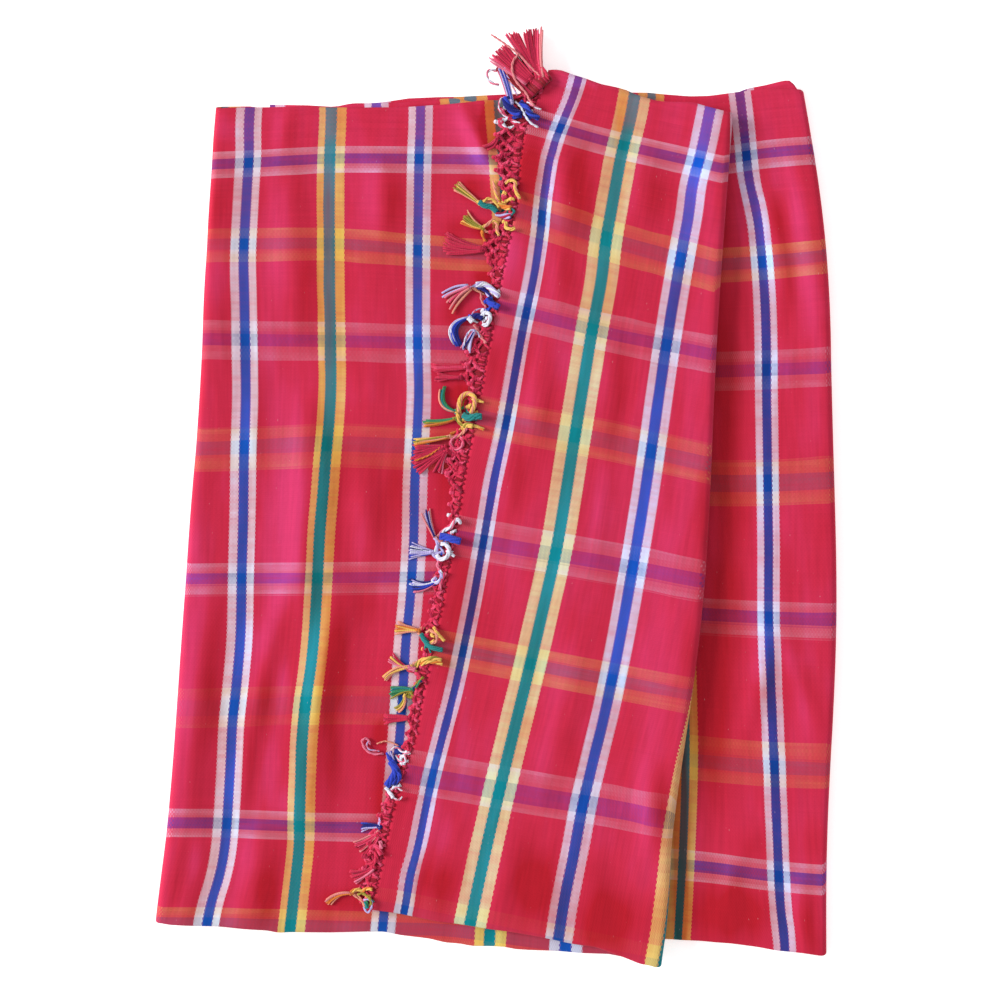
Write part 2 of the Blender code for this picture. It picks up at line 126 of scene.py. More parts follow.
def across_of(x: Array) -> Array:
    """Pixels across the picture at x."""
    return x / PICTURE_SCALE + PICTURE_MIDDLE[0]


def down_of(y: Array) -> Array:
    """Pixels down the picture at y."""
    return PICTURE_MIDDLE[1] - y / PICTURE_SCALE


def each(kind: type, *rows: tuple) -> list:
    """One object of the kind for each row of its values."""
    return [kind(*row) for row in rows]


def softened(x: Array, places: tuple[float, ...], values: tuple[float, ...], reach: float) -> Array:
    """A line through the values at the places, its corners rounded by the mean of five shifted readings."""
    shifts = np.linspace(-reach, reach, 5)
    return sum(np.interp(x + shift, places, values) for shift in shifts) / len(shifts)


@dataclass(frozen=True)
class Line:
    """A line down the cloth: straight from top to foot, plus sine waves of one to four half periods.

    drift lists (down, across) in picture pixels: how far off this the line wanders.
    """

    top: Pair
    foot: Pair
    waves: tuple[float, ...] = (0.0,)
    drift: tuple[Pair, ...] = ((0.0, 0.0),)

    def share_at(self, y: Array) -> Array:
        """Share of the way from top to foot at each height."""
        return (self.top[1] - y) / (self.top[1] - self.foot[1])

    def x_at(self, y: Array) -> Array:
        """Place across at each height: the straight line, the sum of w_k sin(k pi v), and the drift."""
        v = self.share_at(y)
        inside = np.clip(v, 0.0, 1.0)
        k = np.arange(1, len(self.waves) + 1)
        wave = np.sin(np.pi * inside[..., None] * k) @ np.array(self.waves)
        wander = PICTURE_SCALE * softened(down_of(y), *zip(*self.drift), DRIFT_SOFTNESS)
        return self.top[0] + (self.foot[0] - self.top[0]) * v + wave + wander


@dataclass(frozen=True)
class FoldLine:
    """A fold or a cut end: its line, and the weft place along it at the top and the foot, and its bow."""

    line: Line
    weft_top: float
    weft_foot: float
    weft_bow: float = 0.0

    def weft_at(self, y: Array) -> Array:
        """Weft place at each height: linear from top to foot plus a parabola of height weft_bow."""
        v = np.clip(self.line.share_at(y), 0.0, 1.0)
        return self.weft_top + (self.weft_foot - self.weft_top) * v + 4 * self.weft_bow * v * (1 - v)


FRINGED_END = FoldLine(
    Line((38.1, 334.0), (-97.7, -322.2), (3.9, -3.1),
         ((80, 3), (95, 1), (108, -3), (122, -6), (135, -8), (150, -6.5), (170, -5), (185, -3), (200, 1),
          (225, 0), (430, 0), (450, -1.5), (495, -1.5), (520, 0), (700, -1), (727, 1), (755, 0),
          (780, -2), (805, -4.5), (850, -2), (885, -1))),
    48.0, 48.0,
)
FLAP_FOLD = FoldLine(
    Line((184.8, 300.3), (127.2, -368.6), (7.1, -0.9, -2.0, 0.8),
         ((835, 0), (850, 1), (870, 2.5), (890, 3.5), (910, 4), (935, 4), (955, 2))),
    227.5, 274.5, 7.5,
)
LEFT_FOLD = FoldLine(Line((-220.3, 302.6), (-267.2, -332.4), (4.5, -1.0, 0.5, -0.8)), 650.0, 662.0, 6.0)
RIGHT_FOLD = FoldLine(Line((241.5, 319.9), (259.7, -359.1), (16.7, 3.5, 0.6, 1.7)), 1087.0, 1070.0, 9.5)
HIDDEN_END = FoldLine(Line((-178.6, 310.5), (-176.2, -342.7), (2.4,)), 1450.0, 1450.0)


@dataclass(frozen=True)
class Dressing:
    """How a stripe is dressed on the loom: half widths of its core and of the whole, in millimetres."""

    core: float
    edge: float

    def steps(self, number: int, pitch: float) -> list[float]:
        """Pattern places of the four edges of the stripe of this number."""
        return [number * pitch + off for off in (-self.edge, -self.core, self.core, self.edge)]


EVEN_STRIPE = Dressing(4.4, 12.1)
ODD_STRIPE = Dressing(3.6, 10.0)


def dressing_of(number: int) -> Dressing:
    """Even stripes are yellow with a green core, odd ones are white with a blue core."""
    return ODD_STRIPE if number % 2 else EVEN_STRIPE


def edges_about(middle: Array, widths: Widths) -> list[Array]:
    """Places of a stripe's four edges about the middle of its core, from its widths in picture pixels."""
    before, core, after = (width * PICTURE_SCALE for width in widths)
    return [middle - core / 2 - before, middle - core / 2, middle + core / 2, middle + core / 2 + after]


@dataclass(frozen=True)
class Stripe:
    """A weft stripe as it lies: its middle line, and the widths of its light band, core and light band.

    The widths are in picture pixels, towards rising x.
    """

    line: Line
    widths: Widths = (12.0, 11.0, 12.0)

    def edges(self, y: Array) -> list[Array]:
        """Places across of the four edges at each height: the line, less and more the widths."""
        return edges_about(self.line.x_at(y), self.widths)


@dataclass(frozen=True)
class Band:
    """A warp stripe as it crosses a layer.

    down is how far down the picture its core lies at each of the layer's band_x, and widths are those of its
    upper light band, core and lower light band in pixels. shows is how strongly its colours come through,
    either one number or one for each of the band_x.
    """

    down: tuple[float, ...]
    widths: Widths = (12.5, 12.5, 12.5)
    shows: tuple[float, ...] = (1.0,)


@dataclass(frozen=True)
class Layer:
    """One layer of the folded strip: the lines that bound it, its stripes, and how finely it is drawn.

    start and end are in the order of the weft. stripes maps a weft stripe's number to how it lies. ends_top
    maps a ply to its top edge in picture pixels, and foot is the lengthwise fold. bands are the warp stripes
    in order, given at the places band_x. shares are the columns' places. slip is how far a ply's pattern
    lies off the stripes at its top, at the left and at the right.
    """

    number: int
    start: FoldLine
    end: FoldLine
    stripes: dict[int, Stripe]
    ends_top: dict[Ply, list[Pair]]
    foot: list[Pair]
    band_x: tuple[float, ...]
    bands: tuple[Band, ...]
    shares: tuple[float, ...]
    slip: dict[Ply, Pair] = field(default_factory=dict)

    @property
    def heading(self) -> int:
        """+1 where the weft runs to the right in this layer, -1 where it runs to the left."""
        return 1 if self.number in (1, 3) else -1


def spread(*runs: tuple[int, float, float]) -> tuple[float, ...]:
    """Places of a layer's columns as shares of its width.

    Args:
        runs: (number of columns, first share, last share) for each stretch; the last place of one stretch is
            the first of the next.

    Returns:
        The shares in order, without doubles.
    """
    parts = [np.linspace(first, last, count + 1) for count, first, last in runs]
    return tuple(float(s) for s in np.unique(np.round(np.concatenate(parts), 6)))


LEFT_BAND_X = (190.0, 215.0, 332.0, 450.0, 700.0)
LEFT_BANDS = (
    Band((166.4, 166.4, 159.8, 160.5, 167.0), (8.7, 10.2, 8.7)),
    Band((246.4, 245.6, 244.0, 254.0, 268.0), (12.4, 10.0, 12.4), (0.4, 0.4, 0.8, 1.1, 1.1)),
    Band((338.7, 339.5, 341.0, 344.0, 354.0), (11.5, 14.7, 13.0), (1.0, 0.95, 0.85, 1.15, 1.0)),
    Band((448.6, 448.6, 443.0, 447.7, 465.5), (14.0, 12.0, 17.2), (1.1, 1.0, 0.5, 1.0, 1.0)),
    Band((579.0, 578.7, 578.0, 576.7, 583.0), (9.2, 13.0, 9.4), (1.6, 1.5, 1.1, 1.5, 1.2)),
    Band((707.2, 707.2, 703.3, 706.5, 695.0), (9.0, 20.0, 9.0), (0.1, 0.15, 0.25, 0.5, 0.7)),
    Band((821.4, 822.0, 826.5, 828.0, 820.0), (9.2, 10.7, 9.2), (2.1,)),
    Band((922.0, 922.5, 925.7, 929.0, 964.0), (9.0, 13.0, 11.0), (1.5,)),
)
FLAP_BAND_X = (380.0, 520.0, 610.0, 700.0, 732.0)
FLAP_BANDS = (
    Band((85.7, 119.7, 145.2, 165.7, 174.2), (9.0, 10.0, 9.0)),
    Band((172.0, 213.0, 242.5, 267.5, 276.7), (15.0, 15.0, 14.8), (0.6, 0.6, 0.7, 0.8, 0.8)),
    Band((281.0, 312.0, 334.8, 352.5, 360.0), (12.4, 14.8, 12.0), (1.0,)),
    Band((397.0, 426.0, 442.3, 463.5, 470.5), (15.8, 13.0, 12.2), (1.0,)),
    Band((524.0, 549.0, 563.5, 581.0, 587.0), (16.0, 16.0, 12.5), (1.0,)),
    Band((634.0, 661.0, 678.3, 695.5, 701.0), (11.8, 11.5, 13.8), (1.8, 1.8, 1.6, 0.6, 0.3)),
    Band((767.5, 792.5, 807.0, 824.5, 830.5), (17.0, 18.5, 9.5), (0.9, 1.1, 1.2, 0.2, 0.1)),
    Band((904.0, 934.0, 953.0, 972.0, 979.0), (12.5, 12.5, 12.5), (0.1,)),
)
RIGHT_BAND_X = (150.0, 215.0, 715.0, 767.0, 820.0, 835.0)
RIGHT_BANDS = (
    Band((165.0, 165.0, 161.5, 153.0, 149.5, 148.5), (9.5, 10.0, 9.5)),
    Band((246.0, 246.0, 265.5, 262.3, 257.0, 255.5), (12.2, 11.5, 12.2), (1.0,)),
    Band((338.0, 338.5, 371.5, 369.5, 367.5, 367.0), (12.6, 14.8, 12.6)),
    Band((447.0, 447.0, 484.0, 483.6, 481.2, 480.7), (16.5, 15.5, 13.7), (1.15,)),
    Band((576.8, 576.8, 615.3, 617.6, 619.6, 620.1), (7.6, 15.5, 12.0), (1.5,)),
    Band((709.7, 709.7, 763.0, 767.5, 769.0, 769.5), (20.0, 14.0, 12.5), (1.0,)),
    Band((822.0, 823.0, 868.0, 875.5, 880.0, 881.0), (10.5, 11.0, 10.5), (2.6,)),
    Band((919.0, 920.5, 972.0, 977.0, 982.0, 983.0), (12.5, 12.5, 12.5), (0.2,)),
)
UNDER_BAND_X = (268.0, 600.0, 835.0)
UNDER_BANDS = tuple(Band(down) for down in (
    (160.0, 158.0, 150.5), (250.0, 255.0, 254.0), (343.0, 355.0, 366.5), (450.0, 465.0, 478.5),
    (582.0, 600.0, 620.5), (715.0, 740.0, 769.5), (828.0, 850.0, 881.0), (922.0, 950.0, 983.0),
))

LAYERS = (
    Layer(
        1, FRINGED_END, FLAP_FOLD,
        {
            1: Stripe(
                Line((59.7, 328.5), (-76.5, -326.2), (4.0, -3.1, -0.5, -0.6),
                     ((95, 6), (125, 0), (155, -4), (185, -2.8), (245, 3), (280, 4), (335, 1.5),
                      (425, 1.5), (485, -0.5), (605, 2.5), (680, 2.5), (755, -0.5), (785, -1), (845, 2),
                      (875, 1), (905, 5))),
                (5.4, 8.6, 3.8),
            ),
            2: Stripe(
                Line((106.4, 316.7), (-21.5, -337.2), (7.9, -0.7, -1.4, 0.5),
                     ((125, 2.5), (155, -0.5), (245, -1), (280, 1.5), (335, 0), (455, -0.5), (545, 1),
                      (605, 0))),
                (10.9, 12.0, 10.3),
            ),
            3: Stripe(
                Line((167.5, 306.5), (46.7, -348.1), (3.8, -2.0, -1.8, 0.5),
                     ((155, 0), (185, -3.2), (215, -0.5), (455, -0.3), (575, -1), (710, 1), (800, -1),
                      (845, 0.5), (905, 0), (935, 1.5))),
                (7.5, 11.4, 8.2),
            ),
        },
        {
            Ply.A: [(545, 72), (552, 70.5), (562, 71.5), (572, 76), (585, 80), (600, 86), (615, 89),
                    (626, 92), (634, 96), (650, 101), (657, 103), (680, 104), (692, 104), (700, 107),
                    (715, 111), (730, 115)],
            Ply.B: [(545, 78), (570, 80), (600, 90), (640, 103), (690, 110), (730, 118)],
        },
        [(372, 908), (400, 912), (414, 915), (440, 920.4), (457, 922), (489, 927.3), (510, 930),
         (548, 936.8), (572, 942), (596, 945.4), (624, 955.7), (641, 962.6), (648, 963), (660, 967)],
        FLAP_BAND_X, FLAP_BANDS, spread((64, 0.0, 1.0)),
    ),
    Layer(
        2, FLAP_FOLD, LEFT_FOLD,
        {
            5: Stripe(Line((66.3, 303.0), (53.8, -356.0), (7.9,))),
            6: Stripe(
                Line((6.0, 307.0), (-6.0, -352.1), (9.4,), ((110, -5), (150, -2.5), (215, 0))),
                (9.0, 11.0, 12.0),
            ),
            7: Stripe(
                Line((-60.7, 306.5), (-89.1, -341.1), (11.5, -1.0),
                     ((125, 1.5), (155, 0), (245, -1.5), (335, -1.5), (395, 0.5), (425, -0.5), (485, -2),
                      (545, -1), (605, -2), (640, -4), (710, -3), (815, -2.5), (935, -0.5))),
                (6.9, 9.5, 7.5),
            ),
            8: Stripe(
                Line((-130.5, 305.8), (-161.2, -341.1), (7.5, 2.1, -1.0, -0.8),
                     ((125, 1.5), (155, 0.5), (305, 1), (385, 2.5), (425, 1.5), (455, 0), (530, -0.5),
                      (580, 1.5), (635, 3.5), (665, 3), (700, 0.5), (740, -0.5), (800, 1), (845, 3),
                      (905, 0), (935, -1.5))),
                (5.7, 12.0, 9.0),
            ),
            9: Stripe(
                Line((-191.4, 305.0), (-226.0, -336.4), (9.7, -4.9, -0.3, -1.2),
                     ((125, -2), (155, 1), (215, 1), (260, 0), (305, 1.5), (395, 2), (455, 0), (575, 1),
                      (635, 2.5), (665, 1.5), (725, -1.5), (785, 1), (850, 4.5), (875, 3.5), (905, -1.5))),
                (8.6, 10.0, 6.9),
            ),
        },
        {
            Ply.B: [(216, 113), (218, 110.5), (223, 109), (250, 108.3), (300, 107.5), (355, 108.5),
                    (405, 108), (440, 105.5), (455, 104.5), (470, 103), (482, 101), (500, 101),
                    (600, 106), (730, 118)],
            Ply.A: [(216, 116), (250, 112), (330, 108.5), (340, 106), (352, 103.5), (370, 103.5),
                    (388, 102.5), (400, 103), (432, 100), (440, 99), (456, 98.5), (465, 101), (480, 103),
                    (600, 106), (730, 118)],
        },
        [(155, 921), (170, 924), (190, 925), (220, 926), (245, 928.5), (268, 930), (279, 932.5),
         (290, 931.5), (330, 932), (370, 931), (385, 931), (400, 934.5), (430, 938), (445, 942),
         (460, 943), (472, 945.5), (500, 945.5), (518, 949), (560, 950.5), (580, 952.5), (612, 953.5),
         (640, 961), (660, 967)],
        LEFT_BAND_X, LEFT_BANDS, spread((14, 0.0, 0.33), (72, 0.33, 1.0)),
        {Ply.A: (-34.0, -34.0)},
    ),
    Layer(
        3, LEFT_FOLD, RIGHT_FOLD,
        {
            10: Stripe(Line((-163.7, 310.0), (-165.0, -335.0), (6.0,))),
            11: Stripe(Line((-94.6, 310.0), (-80.0, -338.0), (6.0,))),
            12: Stripe(Line((-20.8, 312.0), (-5.0, -342.0), (6.0,))),
            13: Stripe(Line((50.6, 314.0), (65.0, -346.0), (10.0,))),
            14: Stripe(Line((122.0, 315.5), (142.3, -348.9), (6.0, -7.0)), (8.0, 8.0, 8.0)),
            15: Stripe(
                Line((189.3, 318.6), (224.6, -356.0), (7.2, 5.5, 1.7, 0.3),
                     ((95, 2), (125, 0.5), (180, -2.7), (215, 1.5), (305, 1.5), (395, 0), (545, 1.5),
                      (620, 0), (770, 1), (905, 0), (935, 2.5))),
                (6.0, 9.6, 6.1),
            ),
        },
        {
            Ply.A: [(216, 117), (300, 109), (388, 101.5), (400, 98.7), (415, 97.5), (440, 96.7),
                    (470, 96.2), (500, 94), (560, 93), (628, 92), (645, 92), (665, 94), (690, 96),
                    (710, 95.5), (735, 92), (765, 88.3), (795, 88.6), (806, 90), (811, 94)],
            Ply.B: [(216, 108), (221, 105.5), (235, 105), (250, 105.5), (262, 107), (272, 109),
                    (500, 100), (700, 99), (735, 93), (748, 87.5), (765, 84.5), (775, 82), (785, 79.5),
                    (793, 79.5), (795.5, 82), (797, 91), (811, 97)],
        },
        [(155, 921), (300, 928), (500, 934), (670, 940), (685, 941), (700, 941.5), (715, 943),
         (730, 944), (745, 946), (760, 948), (775, 951), (790, 952.5), (805, 954), (820, 956.5),
         (828, 957)],
        RIGHT_BAND_X, RIGHT_BANDS, spread((16, 0.0, 0.74), (36, 0.74, 1.0)),
        {Ply.B: (-52.0, 8.0)},
    ),
    Layer(
        4, RIGHT_FOLD, HIDDEN_END,
        {
            16: Stripe(Line((180.0, 315.0), (195.0, -352.0), (9.0,))),
            17: Stripe(Line((108.0, 314.0), (120.0, -348.0), (6.0,))),
            18: Stripe(Line((38.0, 312.0), (48.0, -344.0), (6.0,))),
            19: Stripe(Line((-30.0, 311.0), (-24.0, -342.0), (4.0,))),
            20: Stripe(Line((-104.0, 311.0), (-98.0, -342.0), (3.0,))),
            21: Stripe(Line((-177.8, 310.5), (-175.0, -342.7), (2.4,))),
        },
        {
            Ply.A: [(268, 104), (270, 102), (281, 102.5), (300, 104), (330, 108), (500, 104), (809, 97)],
            Ply.B: [(268, 104), (270, 102.5), (281, 102.5), (300, 103), (315, 104.8), (330, 106.5),
                    (500, 102), (809, 98)],
        },
        [(268, 928), (500, 932), (700, 938), (828, 955)],
        UNDER_BAND_X, UNDER_BANDS, spread((14, 0.0, 1.0)),
    ),
)


@dataclass(frozen=True)
class Swell:
    """A soft long rise in the stack: a bell of that reach and height, in the share that each layer takes."""

    x: float
    y: float
    reach_x: float
    reach_y: float
    height: float
    lifts: tuple[float, float, float, float]


SWELLS = each(
    Swell,
    (178, 190, 26, 190, 2.2, (1, 0, 0, 0)),
    (146, -230, 26, 230, 2.6, (1, 0, 0, 0)),
    (-222, 160, 30, 210, 2.4, (1, 1, 0, 0)),
    (-254, -200, 30, 220, 2.8, (1, 1, 0, 0)),
    (262, 20, 30, 330, 2.2, (1, 1, 1, 0)),
    (-150, -120, 22, 160, 1.4, (1, 1, 0.3, 0)),
    (-95, 150, 34, 120, 1.2, (1, 1, 0.3, 0)),
    (52, -40, 40, 210, 1.3, (1, 0.5, 0.2, 0)),
    (215, -60, 26, 190, 1.1, (1, 1, 1, 0)),
)
DROOP_FROM_Y = 320.5
DROOP_SLOPE = 0.3


@dataclass(frozen=True)
class Crease:
    """A soft ridge in the cloth, in picture pixels: from one place to another, with a sideways bend."""

    from_across: float
    from_down: float
    to_across: float
    to_down: float
    bend: float
    width: float
    height: float

    def lift(self, x: Array, y: Array, end_share: float = 0.05, fade_power: float = 0.6) -> Array:
        """Height of the ridge: a bell across its bent line, faded to nothing at its two ends."""
        (x0, y0), (x1, y1) = picture([(self.from_across, self.from_down), (self.to_across, self.to_down)])
        length = math.hypot(x1 - x0, y1 - y0)
        along = ((x - x0) * (x1 - x0) + (y - y0) * (y1 - y0)) / length**2
        off = ((x - x0) * (y1 - y0) - (y - y0) * (x1 - x0)) / length
        inside = np.clip(along, 0.0, 1.0)
        off = off - self.bend * PICTURE_SCALE * 4 * inside * (1 - inside)
        past = np.maximum(np.abs(along - 0.5) - 0.5, 0.0) * length
        fade = np.sin(np.pi * np.clip(inside * (1 - 2 * end_share) + end_share, 0.0, 1.0)) ** fade_power
        width = self.width * PICTURE_SCALE
        return self.height * fade * np.exp(-((off / width) ** 2) - (past / width) ** 2)


# Creases by layer, as rows of a Crease's values
CREASES = {
    1: each(
        Crease,
        (556, 136, 574, 248, 0, 15, 1.3), (556, 240, 560, 302, 0, 12, 0.7),
        (546, 345, 534, 445, 0, 11, 1.4), (513, 438, 507, 508, 0, 12, 0.9),
        (645, 155, 640, 228, 0, 16, 1.4), (613, 345, 603, 445, 0, 12, 1.2),
        (580, 636, 545, 805, 0, 13, 1.1), (649, 760, 651, 850, 0, 12, 1.9),
        (607, 445, 592, 575, -3, 9, 0.8), (514, 830, 492, 925, 0, 15, 1.6),
        (598, 850, 585, 935, 0, 13, 1), (462, 680, 424, 860, -3, 9, 0.5),
    ),
    2: each(
        Crease,
        (212, 588, 188, 818, 1, 14, 2), (288, 590, 238, 808, 5, 11, 1.7), (345, 580, 306, 822, 8, 16, 3),
        (330, 728, 327, 808, 0, 9, 0.8), (307, 400, 300, 606, 0, 14, 2.3),
        (256, 375, 254, 470, 0, 9, 0.9), (286, 160, 297, 330, 0, 19, 1.9),
        (381, 165, 385, 240, 0, 11, 1.2), (364, 445, 372, 575, 0, 14, 1.3),
        (325, 440, 328, 575, 0, 12, 1.4), (210, 262, 213, 335, 0, 11, 1),
        (205, 170, 209, 238, 0, 10, 0.8), (200, 462, 200, 570, 0, 9, 1), (182, 836, 163, 920, 0, 8, 0.8),
        (204, 850, 182, 928, 0, 9, 0.7), (264, 828, 246, 932, 0, 17, 2.3),
        (461, 104, 508, 190, 3, 9, 2.2), (292, 108, 284, 150, 2, 10, 1), (222, 118, 212, 165, -2, 8, 0.6),
    ),
    3: each(
        Crease,
        (762, 180, 786, 300, -2, 10, 1.3), (796, 155, 822, 345, -2, 12, 1.5),
        (784, 630, 816, 730, 0, 10, 1.1), (801, 880, 807, 958, 0, 8, 1.1),
        (772, 625, 744, 735, -4, 10, 1), (740, 850, 720, 940, 2, 9, 0.8),
    ),
}


@dataclass(frozen=True)
class Ripple:
    """Fine unevenness of a layer: how many sine waves, their lengths, how far they slant, their height."""

    waves: int = 8
    lengths: Pair = (25.0, 90.0)
    slant: float = 0.5
    flattened: float = 0.45
    height: float = 0.5
    first_seed: int = 10

    def lift(self, layer: int, x: Array, y: Array) -> Array:
        """Height from zero up: the mean of slanting sine waves, which are seeded by the layer."""
        rng = np.random.default_rng(self.first_seed + layer)
        total = np.zeros_like(x)
        for _ in range(self.waves):
            wave, turn = rng.uniform(*self.lengths), rng.uniform(-self.slant, self.slant)
            slanting = x * math.cos(turn) + self.flattened * y * math.sin(turn)
            total += np.sin(2 * math.pi * slanting / wave + rng.uniform(0, 2 * math.pi))
        return self.height * (0.5 + total / (2 * self.waves))


def own_relief(layer: int, x: Array, y: Array) -> Array:
    """Creases and ripple of one layer alone, never below zero so that the layers keep apart."""
    return sum((crease.lift(x, y) for crease in CREASES[layer]), Ripple().lift(layer, x, y))


def relief(layer: int, ply: Ply, x: Array, y: Array) -> Array:
    """A layer rises with all relief under it; its upper ply takes its own in full, its lower ply half."""
    height = sum((own_relief(n, x, y) for n in range(layer + 1, len(LAYERS))), np.zeros_like(x))
    if layer < len(LAYERS):
        upper = ply is (Ply.B if layer == 2 else Ply.A)
        height = height + own_relief(layer, x, y) * (1.0 if upper else 0.5)
    return height


def stack_height(layer: int, x: Array, y: Array) -> Array:
    """Height of the middle of a layer's doubled strip: an even stack, plus its share of every swell."""
    height = np.full(np.shape(x), LOWEST_MID + LAYER_PITCH * (len(LAYERS) - layer))
    for swell in SWELLS:
        away = ((x - swell.x) / swell.reach_x) ** 2 + ((y - swell.y) / swell.reach_y) ** 2
        height = height + swell.lifts[layer - 1] * swell.height * np.exp(-away)
    if layer == 1:
        height = height - DROOP_SLOPE * np.maximum(0.0, y - DROOP_FROM_Y)
    return height


@dataclass(frozen=True)
class Patch:
    """A soft patch in picture pixels of tone and painted light: a pink highlight above zero, a red shade
    below.
    """

    across: float
    down: float
    reach_across: float
    reach_down: float
    amount: float

    def tone(self, x: Array, y: Array) -> Array:
        """A bell over the patch."""
        middle_x, middle_y = picture([(self.across, self.down)])[0]
        wide, high = self.reach_across * PICTURE_SCALE, self.reach_down * PICTURE_SCALE
        return self.amount * np.exp(-(((x - middle_x) / wide) ** 2) - ((y - middle_y) / high) ** 2)


# Tone and painted light over the ground by layer, as rows of a Patch's values: painted highlight, lighter
# and more pink, above zero, and painted shade, a darker red, below zero, as in the flap's shadow beside its
# fold, at the foot and beside the fringe; they carry the cloth's uneven tone as well
SHADE_AND_TONE_PATCHES = {
    1: each(
        Patch,
        (516, 360, 14, 60, -0.7), (580, 185, 18, 40, -1.6), (452, 620, 13, 120, -0.8),
        (556, 210, 10, 20, 0.6), (574, 275, 14, 24, -0.6), (528, 465, 18, 30, -0.5),
        (665, 195, 18, 26, -0.8), (628, 290, 18, 34, -0.5), (627, 395, 14, 36, -0.6),
        (612, 500, 44, 70, 0.6), (690, 440, 18, 90, 0.5), (565, 670, 20, 26, 0.6),
        (500, 605, 20, 40, -0.4), (575, 745, 14, 34, -0.5), (632, 800, 14, 14, 0.5),
        (662, 805, 8, 34, -1.3), (436, 882, 20, 22, -2.2), (535, 885, 24, 34, -2.6),
        (612, 918, 42, 30, -2.6), (440, 720, 14, 60, 0.3), (650, 640, 30, 60, 0.2),
        (607, 650, 14, 60, 0.6), (592, 750, 14, 60, 0.7), (666, 890, 8, 90, -0.6),
        (512, 258, 14, 30, 1.5), (515, 158, 12, 24, -1.2), (493, 362, 9, 20, -1.2),
        (564, 362, 12, 30, 1.1), (606, 522, 12, 26, 0.8), (463, 735, 11, 60, 1.4),
        (440, 828, 14, 26, 1.5), (575, 722, 10, 22, 0.9), (590, 866, 14, 24, -1.2),
        (704, 515, 9, 80, -1.3), (690, 650, 9, 32, -1.2), (470, 590, 14, 60, -1.3),
        (534, 382, 12, 40, -0.9), (642, 795, 10, 35, -0.8), (532, 170, 14, 40, -1.6),
    ),
    2: each(
        Patch,
        (283, 510, 20, 80, 1.8), (296, 735, 12, 75, -2.4), (185, 690, 12, 100, 0.8),
        (207, 758, 10, 45, 1.1), (266, 695, 8, 35, -0.9), (335, 665, 12, 50, -1.4),
        (354, 470, 16, 34, -1.7), (395, 480, 14, 50, -1.3), (308, 290, 12, 40, -0.7),
        (268, 250, 16, 80, 0.4), (395, 205, 14, 30, -0.5), (364, 205, 12, 30, 0.4),
        (362, 415, 18, 12, -0.6), (220, 205, 12, 26, -0.5), (462, 140, 24, 36, 0.8),
        (268, 892, 15, 26, -2), (248, 860, 10, 26, 0.8), (346, 902, 30, 14, -2), (381, 785, 10, 50, -1.9),
        (450, 205, 16, 22, 0.5), (445, 300, 20, 9, 0.7), (460, 394, 14, 11, -3.5),
        (443, 482, 12, 46, -1.8), (484, 232, 14, 8, -2.5), (380, 732, 8, 8, -3), (490, 124, 8, 20, -6),
        (242, 725, 8, 40, -0.7), (471, 188, 12, 12, -2.4), (457, 229, 12, 12, -1.6),
        (485, 279, 12, 8, -3), (453, 311, 12, 15, -1.9), (355, 364, 14, 22, -1), (371, 607, 14, 16, -1),
        (226, 131, 11, 16, 1.5), (216, 286, 14, 30, 1.2), (203, 545, 15, 85, 1.3), (268, 355, 10, 45, 1),
        (266, 570, 11, 36, 1.1), (254, 640, 11, 22, 1.3), (284, 690, 9, 34, 1.6), (268, 765, 10, 44, 1.2),
        (284, 803, 10, 14, 1.4), (197, 864, 11, 26, 1.4),
    ),
    3: each(
        Patch,
        (726, 430, 20, 230, -2.4), (710, 700, 20, 90, -2.6), (722, 912, 44, 32, -2.6),
        (778, 225, 10, 30, -1), (788, 300, 8, 44, -1.3), (798, 210, 10, 36, 0.6),
        (792, 680, 12, 22, -0.6), (799, 660, 12, 18, 1.2), (804, 925, 9, 26, -1.6),
        (800, 120, 26, 30, 0.5), (735, 640, 24, 60, -0.6), (742, 195, 9, 50, 1.3), (774, 182, 9, 18, 1.2),
        (681, 850, 6, 110, -5), (758, 692, 10, 16, -1.2), (752, 848, 26, 16, -1), (815, 843, 10, 22, -1),
        (758, 912, 12, 26, -0.7), (745, 520, 9, 26, -0.8),
    ),
}
# Worn places in the stripes by layer: a Patch's amount is taken off the share of the other dyes
FADED = {
    1: each(
        Patch,
        (622, 120, 9, 55, 1), (602, 276, 7, 24, 0.8), (431, 760, 6, 50, 0.8), (410, 860, 6, 50, 0.9),
    ),
    2: each(
        Patch,
        (328, 205, 7, 60, 1), (328, 320, 7, 90, 0.9), (408, 690, 18, 100, 0.8), (298, 735, 8, 80, -0.6),
        (226, 730, 7, 60, 0.8), (212, 860, 7, 50, 0.6),
    ),
    3: each(
        Patch,
        (684, 800, 6, 110, 0.8),
    ),
}
# Painted light: how much lighter and more pink the cloth is painted where it leans towards the lamp on the
# left, and how much darker where it leans away
PAINTED_LEAN_LIGHT = 8.0
STEEPEST_LEAN = 0.3


def ramp_through(x: Array, knots: list[tuple[Array, Array]]) -> Array:
    """Value at x of a line through knots of varying place: each stretch adds its rise by the share passed.

    Args:
        x: where the value is wanted.
        knots: (place, value) pairs in rising order of place, each an array like x.

    Returns:
        The values, running on with a slope of one past either end.
    """
    least_width = 0.5
    value = knots[0][1] + np.minimum(x - knots[0][0], 0.0) + np.maximum(x - knots[-1][0], 0.0)
    for (place, low), (following, high) in zip(knots[:-1], knots[1:]):
        width = np.maximum(following - place, least_width)
        value = value + (high - low) * np.clip((x - place) / width, 0.0, 1.0)
    return value


